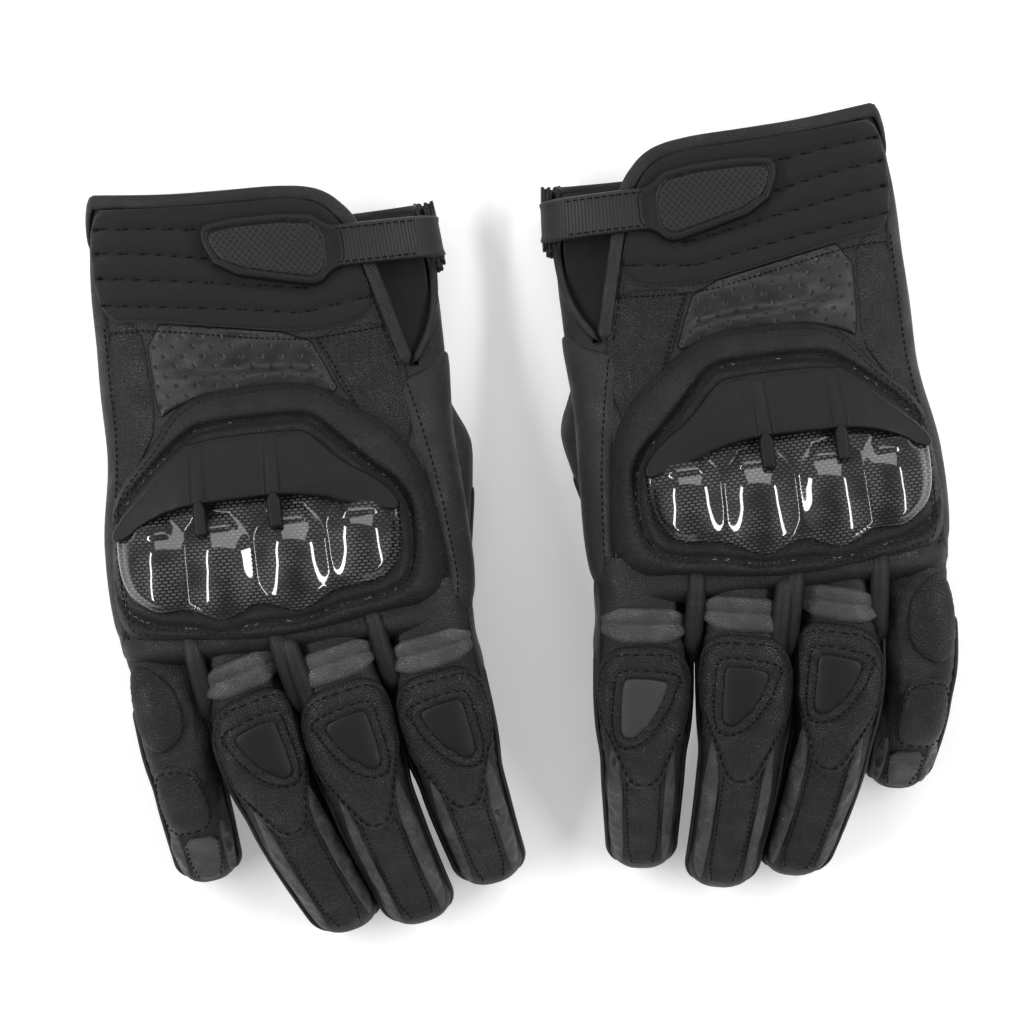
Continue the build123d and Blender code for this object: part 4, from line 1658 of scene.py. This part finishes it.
@dataclass
class Finger:
    """A sewn finger in two lengths, with its pad, insert, pleats, strips and seams."""

    place: Placement
    finish: Finishes
    plan: FingerPlan
    pale: bool = False
    root_y: float = -34.0
    inner: float = 12.0  # how far the sleeve reaches into the hand

    def axes(self, pitch: float) -> tuple[np.ndarray, ...]:
        """Directions across, up and along at a pitch in degrees.

        Args:
            pitch: Slope towards the table, degrees.

        Returns:
            Three unit vectors.
        """
        a, p = math.radians(self.plan.angle), math.radians(pitch)
        across = np.array([math.cos(a), math.sin(a), 0.0])
        along = np.array([math.sin(a) * math.cos(p), -math.cos(a) * math.cos(p), -math.sin(p)])
        return across, np.cross(along, across), along

    def joints(self) -> tuple[np.ndarray, np.ndarray, float]:
        """The knuckle's and the middle joint's pivots, and the tip's pitch in degrees.

        Returns:
            Two points and an angle.
        """
        f = self.plan
        _, up, along = self.axes(4.0)
        knuckle = np.array([f.base_x, self.root_y, f.base_z]) - up * f.radius + along * f.stub
        middle = knuckle + self.axes(12.0)[2] * f.base_length
        reach = f.tip_length - f.tip_radius
        drop = middle[2] - f.tip_radius - 0.25
        slope = math.asin(drop / math.hypot(reach, f.radius)) + math.atan(f.radius / reach)
        return knuckle, middle, math.degrees(slope)

    def sleeve(self) -> Sleeve:
        """The finger's surface along its bent middle line.

        Returns:
            The surface.
        """
        f = self.plan
        knuckle, middle, pitch = self.joints()
        across, up0, along0 = self.axes(4.0)
        _, up1, along1 = self.axes(12.0)
        _, up2, along2 = self.axes(pitch)
        root = np.array([f.base_x, self.root_y, f.base_z])
        stops = np.array([root - along0 * self.inner, root, knuckle + f.radius * (up0 + up1) / 2,
                          knuckle + f.radius * up1 + along1 * f.base_length * 0.5,
                          middle + f.radius * (up1 + up2) / np.linalg.norm(up1 + up2),
                          middle + f.radius * up2 + along2 * f.tip_length * 0.5,
                          middle + f.radius * up2 + along2 * f.tip_length])
        line = evenly(stops, 0.5, False)
        padded = np.vstack([np.repeat(line[:1], 14, 0), line, np.repeat(line[-1:], 14, 0)])
        kernel = np.hanning(29)[1:-1] / np.hanning(29)[1:-1].sum()
        soft = np.stack([np.convolve(padded[:, k], kernel, "valid") for k in range(3)], 1)
        fade = np.clip(np.minimum(np.arange(len(soft)), np.arange(len(soft))[::-1]) / 20, 0, 1)[:, None]
        size = min(len(soft), len(line))
        line = line[:size] * (1 - fade[:size]) + soft[:size] * fade[:size]
        line = evenly(line, 1.0, False)
        share = np.clip((np.arange(len(line)) - self.inner) / (len(line) - self.inner), 0, 1)
        line = evenly(line + f.bow * np.sin(share**0.9 * math.pi)[:, None] * across, 1.0, False)
        s = np.arange(len(line)) - self.inner
        end = s[-1]
        joint = f.stub + f.base_length
        taper = np.clip((s - joint) / (end - f.tip_radius - joint), 0, 1)
        radii = f.radius + (f.tip_radius - f.radius) * taper
        radii = radii - 0.5 * hill(s - joint - 4, 6.0) - 0.4 * hill(s - f.stub + 3, 5.0)
        cap = np.clip((s - (end - f.tip_radius)) / f.tip_radius, 0, 1)
        widen = 1.03 + (0.13 if f.insert else 0.08) * (1 - smooth(s, f.stub + 16, joint + 14))
        return Sleeve(line, across, radii * np.sqrt(np.clip(1 - cap**2.3, 0, 1)), -self.inner, widen)

    def tube(self, skin: Sleeve, start: float, end: float, inset: float) -> Sheet:
        """The leather of the sleeve between two distances, wrinkled at the joints.

        Args:
            skin: The finger's surface.
            start: Where it starts.
            end: Where it ends.
            inset: How far it lies inside the surface, mm.

        Returns:
            The leather's mesh.
        """
        f = self.plan
        count = 84
        around = np.arange(count) / count * math.tau * skin.radii.max()
        along = np.arange(start, end, 1.0)
        if end >= skin.length:
            along = np.r_[along[along < skin.length - 3], skin.length - TIP_ROWS]
        u, s = np.meshgrid(around, along)
        turn = u / skin.radii.max()
        under = np.clip(-np.cos(turn), 0, 1)
        joint = f.stub + f.base_length
        seed = int(f.base_x) + 60
        offset = -inset + 0.35 * ripple(np.cos(turn) * 12, s + np.sin(turn) * 12, 9, seed)
        fold = np.sin(s * math.tau / 4.2 + 1.5 * np.sin(turn * 2)) * 0.45
        offset = offset + fold * (0.35 + under) * hill(s - joint, 9) + fold * 0.5 * hill(s - f.stub, 6)
        offset = offset * np.clip((skin.length - s) / 6, 0.1, 1)
        plan = np.stack([u.ravel(), s.ravel()], 1)
        points = skin.place(plan, offset.ravel())
        faces = grid_faces(len(along), count, True)
        if end >= skin.length:
            last = (len(along) - 1) * count
            faces.append(tuple(last + c for c in range(count)))
        return Sheet(points, [tuple(reversed(face)) for face in faces], plan)

    def build(self) -> None:
        """Makes the sleeve's two lengths and everything sewn to them."""
        f, node, fin = self.plan, self.place.node, self.finish
        skin = self.sleeve()
        join = f.stub + f.base_length * 0.5
        low = self.tube(skin, -self.inner, join + 1.5,
                        0.35).piece(node(f"{f.name}_lower"), self.place, fin.body)
        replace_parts(low, node(f"{f.name}_base"))
        top = self.tube(skin, join - 1.5, skin.length,
                        0.0).piece(node(f"{f.name}_upper"), self.place, fin.body)
        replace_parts(top, node(f"{f.name}_tip"))
        self.bend_knuckle(low, skin)
        self.bend_middle(top, skin)
        if f.insert:
            self.armour(skin)
            self.pleats(skin)
            self.side_wall(skin)
        else:
            self.small_pads(skin)
        self.tip_strips(skin)

    def bend_knuckle(self, made: bpy.types.Object, skin: Sleeve) -> None:
        """Bakes the placement of a piece between the hand and the finger's base into its mesh.

        Args:
            made: The object.
            skin: The finger's surface.
        """
        f, node = self.plan, self.place.node
        spots = skin.line[[int(f.stub + self.inner - 6), int(f.stub + self.inner + 6)]]
        start, end = self.place.world(spots)
        node("hand")
        node(f"{f.name}_base_body")
        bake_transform(made)

    def bend_middle(self, made: bpy.types.Object, skin: Sleeve) -> None:
        """Bakes the placement of a piece between the finger's base and its tip into its mesh.

        Args:
            made: The object.
            skin: The finger's surface.
        """
        f, node = self.plan, self.place.node
        spot = int(f.stub + f.base_length + self.inner)
        start, end = self.place.world(skin.line[[spot - 7, spot + 8]])
        node(f"{f.name}_base_body")
        node(f"{f.name}_tip_body")
        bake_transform(made)

    def armour(self, skin: Sleeve) -> None:
        """The teardrop pad with its stitched window and moulded insert.

        Args:
            skin: The finger's surface.
        """
        f, node, fin = self.plan, self.place.node, self.finish
        k = f.radius / 12.5
        start, long = f.stub + 2.0, f.base_length + 9.0
        shape = ((0, 0), (6, 0.2), (10.5, 2.6), (13.2, 8), (14.2, 15), (13.2, 23), (10.2, 31), (6.6, 38),
                 (3.6, 43),
                 (1.4, 44.5), (0, 44.6))
        right = [(u * k, start + v * long / 44.5) for u, v in shape]
        outline = right + [(-u, s) for u, s in reversed(right[1:-1])]
        window = [(-4.8, start + 12.4), (-4.4, start + 9.6), (-1.0, start + 8.6), (2.6, start + 8.2),
                  (4.1, start + 9.8),
                  (4.5, start + 16), (4.9, start + 26.4), (4.0, start + 28.6), (1.6, start + 28.8),
                  (0.2, start + 26.8)]
        frame_line = evenly(rounded(window, 1), 0.8)

        def swell(plan: np.ndarray, gap: np.ndarray) -> np.ndarray:
            """Crowned towards the middle, pulled in at the window's seam.

            Args:
                plan: Flat places, mm.
                gap: Distance of each place from the rim, mm.

            Returns:
                One height for each place.
            """
            near = distance_to(plan, frame_line)
            within = inside(plan, frame_line)
            crown = 1.7 * np.sin(np.clip(gap / 8, 0, 1) * math.pi / 2)
            seam = 0.7 * hill(near - 1.9, 0.55) + 0.5 * hill(gap - 2.6, 0.5)
            lip = 0.35 * hill(near - 0.5, 0.5) * (~within)
            wrinkles = 0.25 * ripple(plan[:, 0], plan[:, 1], 5, 40)
            return crown - seam * (~within) - 0.9 * within + lip + wrinkles

        pad = Panel(outline, 1.6, -0.6, 1.5, 0.9, 1, swell)
        made = pad.sheet(skin).piece(node(f"{f.name}_armour"), self.place, fin.grained)
        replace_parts(made, node(f"{f.name}_pad"))
        self.bend_middle(made, skin)
        middle = frame_line.mean(0)
        row = middle + (frame_line - middle) * np.array([1.42, 1.2])
        thread = Stitches(1.7, 1.2, 0.21, 0.12).sheet(row, skin, pad.offset, True)
        edge = pad.edge()
        centre = np.array([0.0, start + long * 0.42])
        hem = centre + (edge - centre) * np.array([0.8, 0.9])
        thread = thread.joined(Stitches(2.0, 1.35, 0.18, 0.05).sheet(hem, skin, pad.offset, True))
        made = thread.piece(node(f"{f.name}_stitches"), self.place, fin.thread)
        self.bend_middle(made, skin)
        inset = middle + (frame_line - middle) * 0.94
        plate = Panel([tuple(p) for p in inset], 2.9, 1.0, 0.5, 0.7, 0,
                      lambda plan, gap: 0.25 * np.clip(gap / 2.5, 0, 1))
        material = fin.pale_insert if self.pale else fin.insert
        made = plate.sheet(skin).piece(node(f"{f.name}_plate"), self.place, material)
        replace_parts(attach(made, node(f"{f.name}_base_body")), node(f"{f.name}_insert"))

    def pleats(self, skin: Sleeve) -> None:
        """Two soft glossy pleats over the knuckle.

        Args:
            skin: The finger's surface.
        """
        f, node, fin = self.plan, self.place.node, self.finish
        wide = f.radius * 0.98

        def fold(plan: np.ndarray, gap: np.ndarray) -> np.ndarray:
            """Two rounded folds with a sharp valley between.

            Args:
                plan: Flat places, mm.
                gap: Distance of each place from the rim, mm.

            Returns:
                One height for each place.
            """
            phase = (plan[:, 1] - 3.6) / 4.7
            wrinkles = 0.22 * ripple(plan[:, 0], plan[:, 1], 4, 51)
            return 1.1 * np.abs(np.sin(phase * math.pi)) ** 0.35 + wrinkles

        strip = Panel(((-wide, 3.2), (wide, 3.2), (wide, 13.4), (-wide, 13.4)), 0.5, -0.5, 0.5, 0.6, 1, fold)
        made = strip.sheet(skin).piece(node(f"{f.name}_pleats"), self.place, fin.glossy)
        if f.name == "index":
            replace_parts(made, node("stretch_panels"))
        self.bend_knuckle(made, skin)

    def side_wall(self, skin: Sleeve) -> None:
        """The long smooth strip's end, down the thumb side of the index finger.

        Args:
            skin: The finger's surface.
        """
        f, node, fin = self.plan, self.place.node, self.finish
        if f.name != "index":
            return
        low = f.radius * 1.15
        wall = Panel(((low, -5), (low + 9, -5), (low + 8, f.stub + 16), (low + 4, f.stub + 21),
                      (low, f.stub + 14)), 0.8,
                     -0.5, 1.0, 1.0, 2, lambda plan, gap: 0.3 * ripple(plan[:, 0], plan[:, 1] * 0.5, 5, 33))
        made = wall.sheet(skin).piece(node("index_side_wall"), self.place, fin.smooth)
        self.bend_knuckle(made, skin)

    def small_pads(self, skin: Sleeve) -> None:
        """The little finger's two soft patches.

        Args:
            skin: The finger's surface.
        """
        f, node, fin = self.plan, self.place.node, self.finish
        joint = f.stub + f.base_length

        def swell(plan: np.ndarray, gap: np.ndarray) -> np.ndarray:
            """Low cushion."""
            return 1.2 * np.sin(np.clip(gap / 5, 0,
                                        1) * math.pi / 2) + 0.25 * ripple(plan[:, 0], plan[:, 1], 4, 61)

        first = Panel(((-12.5, 4), (-6, 1), (-1, 5), (2.5, 14), (1.5, 25), (-4, 30), (-12.5, 25)), 0.8, -0.6,
                      1.2, 0.9, 2,
                      swell)
        made = first.sheet(skin).piece(node("little_knuckle_patch"), self.place, fin.grained)
        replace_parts(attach(made, node("little_base_body")), node("little_pad"))
        second = Panel(((-11.5, joint - 2), (0, joint - 5), (5, joint + 4), (5, joint + 14), (1, joint + 19),
                        (-11.5, joint + 18)), 0.8, -0.6, 1.2, 0.9, 2, swell)
        made = second.sheet(skin).piece(node("little_tip_patch"), self.place, fin.grained)
        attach(made, node("little_tip_body"))
        middle = second.edge().mean(0)
        row = middle + (second.edge() - middle) * 0.84
        thread = Stitches(1.9, 1.3, 0.18, 0.05).sheet(row, skin, second.offset, True)
        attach(thread.piece(node("little_stitches"), self.place, fin.thread), node("little_tip_body"))

    def tip_strips(self, skin: Sleeve) -> None:
        """The middle strip and shiny side strips past the joint, and the seams round the fingertip.

        Args:
            skin: The finger's surface.
        """
        f, node, fin = self.plan, self.place.node, self.finish
        joint = f.stub + f.base_length
        end = skin.length
        first = joint + (2.0 if f.insert else 20.0)
        middle = Panel(((-5.2, first), (5.2, first), (4.6, end - 12), (3.4, end - 5.5), (-3.4, end - 5.5),
                        (-4.6, end - 12)),
                       0.75, -0.4, 0.7, 1.0, 1,
                       lambda plan, gap: 0.22 * ripple(plan[:, 0], plan[:, 1], 3.5,
                                                       71) * np.clip(gap / 2, 0, 1))
        finish = fin.grained if f.insert else fin.glossy
        made = middle.sheet(skin).piece(node(f"{f.name}_back_strip"), self.place, finish)
        self.bend_middle(made, skin)
        sides = []
        for sign in (-1, 1):
            reach = 13.2 if (sign > 0) == f.insert else 11.0
            shape = ((5.5, first + 1), (7.4, first - 7), (reach, first + 6), (reach + 0.2, end - 15),
                     (9.6, end - 7.5),
                     (5.6, end - 6))
            shiny = Panel([(sign * u, s) for u, s in shape], 0.7, -0.4, 0.8, 1.0, 2,
                          lambda plan, gap: 0.5 * ripple(plan[:, 0] * 0.8, plan[:, 1] * 1.5, 2.9,
                                                         81) * np.clip(gap / 2, 0, 1))
            sides.append(shiny.sheet(skin))
        made = together(sides).piece(node(f"{f.name}_side_strips"), self.place, fin.glossy)
        self.bend_middle(made, skin)
        fine = Stitches(1.9, 1.3, 0.18, 0.05)
        lines = [np.array([(sign * 4.2, first + 2), (sign * 4.0, end - 13),
                           (sign * 2.8, end - 8)]) for sign in (-1, 1)]
        thread = fine.sheet(lines[0], skin, middle.offset,
                            False).joined(fine.sheet(lines[1], skin, middle.offset, False))
        made = thread.piece(node(f"{f.name}_tip_stitches"), self.place, fin.thread)
        self.bend_middle(made, skin)
        reach = skin.radii.max() * math.pi / 2 * 0.92
        paths = [np.array([(sign * reach,
                            s) for s in np.arange(f.stub + 5, end - 0.4, 0.8)]) for sign in (-1, 1)]
        made = together(roll_on(path, skin, 0.3, 1.0,
                                0.9) for path in paths).piece(node(f"{f.name}_side_seams"), self.place,
                                                              fin.edging)
        self.bend_middle(made, skin)


@dataclass
class Thumb:
    """The thumb folded under the index side of the palm."""

    place: Placement
    finish: Finishes
    inward: float
    hinge: tuple[float, float, float] = (56.0, 19.0, 10.05)
    radius: float = 9.8
    length: float = 61.0

    def build(self) -> None:
        """Makes the thumb from inside the palm to its tip."""
        node, fin = self.place.node, self.finish
        a = math.radians(-self.inward)
        along = np.array([math.sin(a), -math.cos(a), 0.0])
        across = np.array([math.cos(a), math.sin(a), 0.0])
        pivot = np.array(self.hinge) + (1.5, 0, 0.6)
        stops = np.array([pivot + (-6, 20, 8), pivot + (-3, 11, 4.0), pivot + (0, 2, 0.6), pivot + along * 10,
                          pivot + along * 30, pivot + along * self.length])
        line = evenly(rounded(stops, 3, False), 1.0, False)
        s = np.arange(len(line), dtype=float)
        radii = np.interp(s, (0, 20, 40, s[-1] - 9), (8.5, self.radius + 0.8, self.radius + 0.6, 9.2))
        cap = np.clip((s - (s[-1] - 9)) / 9, 0, 1)
        skin = Sleeve(line, across, radii * np.sqrt(np.clip(1 - cap**2.3, 0, 1)), 0.0, flatten=0.97)
        count = 72
        around = np.arange(count) / count * math.tau * self.radius
        rows = np.r_[s[s < skin.length - 3], skin.length - TIP_ROWS]
        u, v = np.meshgrid(around, rows)
        offset = -0.15 + 0.3 * ripple(u, v, 8,
                                      91) * np.clip((skin.length - v) / 6, 0.1, 1) * np.cos(u / self.radius)
        plan = np.stack([u.ravel(), v.ravel()], 1)
        faces = grid_faces(len(rows), count,
                           True) + [tuple((len(rows) - 1) * count + c for c in range(count))]
        sheet = Sheet(skin.place(plan, offset.ravel()), [tuple(reversed(face)) for face in faces], plan)
        made = sheet.piece(node("thumb_leather"), self.place, fin.body)
        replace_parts(made, node("thumb"))
        start, end = self.place.world(np.array([pivot - along * 7, pivot + along * 7]))
        node("hand")
        node("thumb_body")
        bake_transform(made)
        reach = self.radius * math.pi / 2
        seam = roll_on(np.array([(-reach, t) for t in np.arange(34, skin.length - 1.5)]), skin, 0.1, 0.7, 0.5)
        seam = seam.joined(roll_on(np.array([(reach, t) for t in np.arange(34, skin.length - 1.5)]), skin,
                                   0.1, 0.7, 0.5))
        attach(seam.piece(node("thumb_seams"), self.place, fin.edging), node("thumb_body"))


# ------------------------------------------------------------------ the pair and its studio


@dataclass
class Glove:
    """One whole glove."""

    place: Placement
    finish: Finishes
    fingers: tuple[FingerPlan, ...]
    thumb_inward: float
    pale_index: bool = False

    def build(self) -> None:
        """Builds the glove's parts in order."""
        HandBody(self.place, self.finish).build()
        KnuckleArmour(self.place, self.finish).build()
        Strap(self.place, self.finish).build()
        for plan in self.fingers:
            Finger(self.place, self.finish, plan, self.pale_index and plan.name == "index").build()
        Thumb(self.place, self.finish, self.thumb_inward).build()
        LOG.info("%s glove done", self.place.side.value)


@dataclass
class Studio:
    """A pale table, soft light, and the camera overhead."""

    finish: Finishes
    middle: tuple[float, float] = (-0.0009, 0.0021)
    field: float = 0.3174
    height: float = 1.6

    def lamp(self, name: str, spot: tuple[float, float, float], size: tuple[float, float],
             power: float) -> None:
        """One rectangular soft lamp aimed at the gloves.

        Args:
            name: Its name.
            spot: Where it hangs, metres.
            size: Its two sides, metres.
            power: Its power, watts.
        """
        data = bpy.data.lights.new(name, "AREA")
        data.shape, data.size, data.size_y, data.energy = "RECTANGLE", size[0], size[1], power
        made = bpy.data.objects.new(name, data)
        made.location = spot
        made.rotation_euler = (Vector((0, 0, 0.03)) - Vector(spot)).to_track_quat("-Z", "Y").to_euler()
        bpy.context.scene.collection.objects.link(made)

    def build(self) -> None:
        """Makes the table, the lamps, the surrounding light and the camera."""
        mesh = bpy.data.meshes.new("table")
        mesh.from_pydata([(-3, -3, 0), (3, -3, 0), (3, 3, 0), (-3, 3, 0)], [], [(0, 1, 2, 3)])
        mesh.materials.append(self.finish.table)
        table = bpy.data.objects.new("table", mesh)
        table.location.z = -0.0003
        bpy.context.scene.collection.objects.link(table)
        self.lamp("strip_left", (-0.62, 0.0, 0.6), (1.0, 0.06), 5.6)
        self.lamp("strip_right", (0.62, 0.05, 0.6), (1.0, 0.06), 5.0)
        self.lamp("softbox_top", (0.0, 0.95, 0.75), (1.2, 0.35), 5.0)
        world = bpy.data.worlds.new("studio")
        world.use_nodes = True
        world.node_tree.nodes["Background"].inputs[0].default_value = (1, 1, 1, 1)
        world.node_tree.nodes["Background"].inputs[1].default_value = 0.25
        bpy.context.scene.world = world
        bpy.context.scene.view_settings.view_transform = "Standard"
        data = bpy.data.cameras.new("camera")
        data.sensor_width = 36.0
        data.lens = 36.0 * (self.height - 0.035) / self.field
        camera = bpy.data.objects.new("camera", data)
        camera.location = (*self.middle, self.height)
        bpy.context.scene.collection.objects.link(camera)
        bpy.context.scene.camera = camera


RIGHT_FINGERS = (
    FingerPlan("index", 46.5, 38.0, 8.0, 12.5, 10.5, 12.0, 33.0, 41.0, True, -2.0),
    FingerPlan("middle", 17.0, 40.0, 11.0, 12.5, 10.5, 12.0, 36.0, 49.0, True, -4.0),
    FingerPlan("ring", -12.0, 38.5, 15.0, 12.0, 10.5, 12.0, 36.0, 50.0, True, -5.5),
    FingerPlan("little", -35.5, 36.0, 4.0, 10.5, 9.5, 10.0, 27.0, 38.0, False),
)
LEFT_FINGERS = (
    FingerPlan("index", 47.5, 38.0, 6.5, 12.5, 10.0, 12.0, 33.0, 42.0, True),
    FingerPlan("middle", 17.5, 40.0, 10.0, 12.5, 10.5, 12.0, 36.0, 49.0, True, -4.0),
    FingerPlan("ring", -11.5, 38.5, 14.0, 12.0, 10.3, 12.0, 36.0, 49.0, True, -6.5),
    FingerPlan("little", -35.5, 36.0, 9.0, 10.5, 9.5, 10.0, 27.0, 35.0, False, -4.0),
)


def main() -> None:
    """Builds both gloves and the studio; each piece logs its face count."""
    logging.basicConfig(level=logging.INFO, format="%(name)s: %(message)s")
    finish = Finishes()
    Studio(finish).build()
    Glove(Placement(Side.RIGHT, -78.13, -3.48, 7.0), finish, RIGHT_FINGERS, 8.0).build()
    Glove(Placement(Side.LEFT, 83.17, 15.82, 6.5), finish, LEFT_FINGERS, 14.0, True).build()


if __name__ == "__main__":
    main()
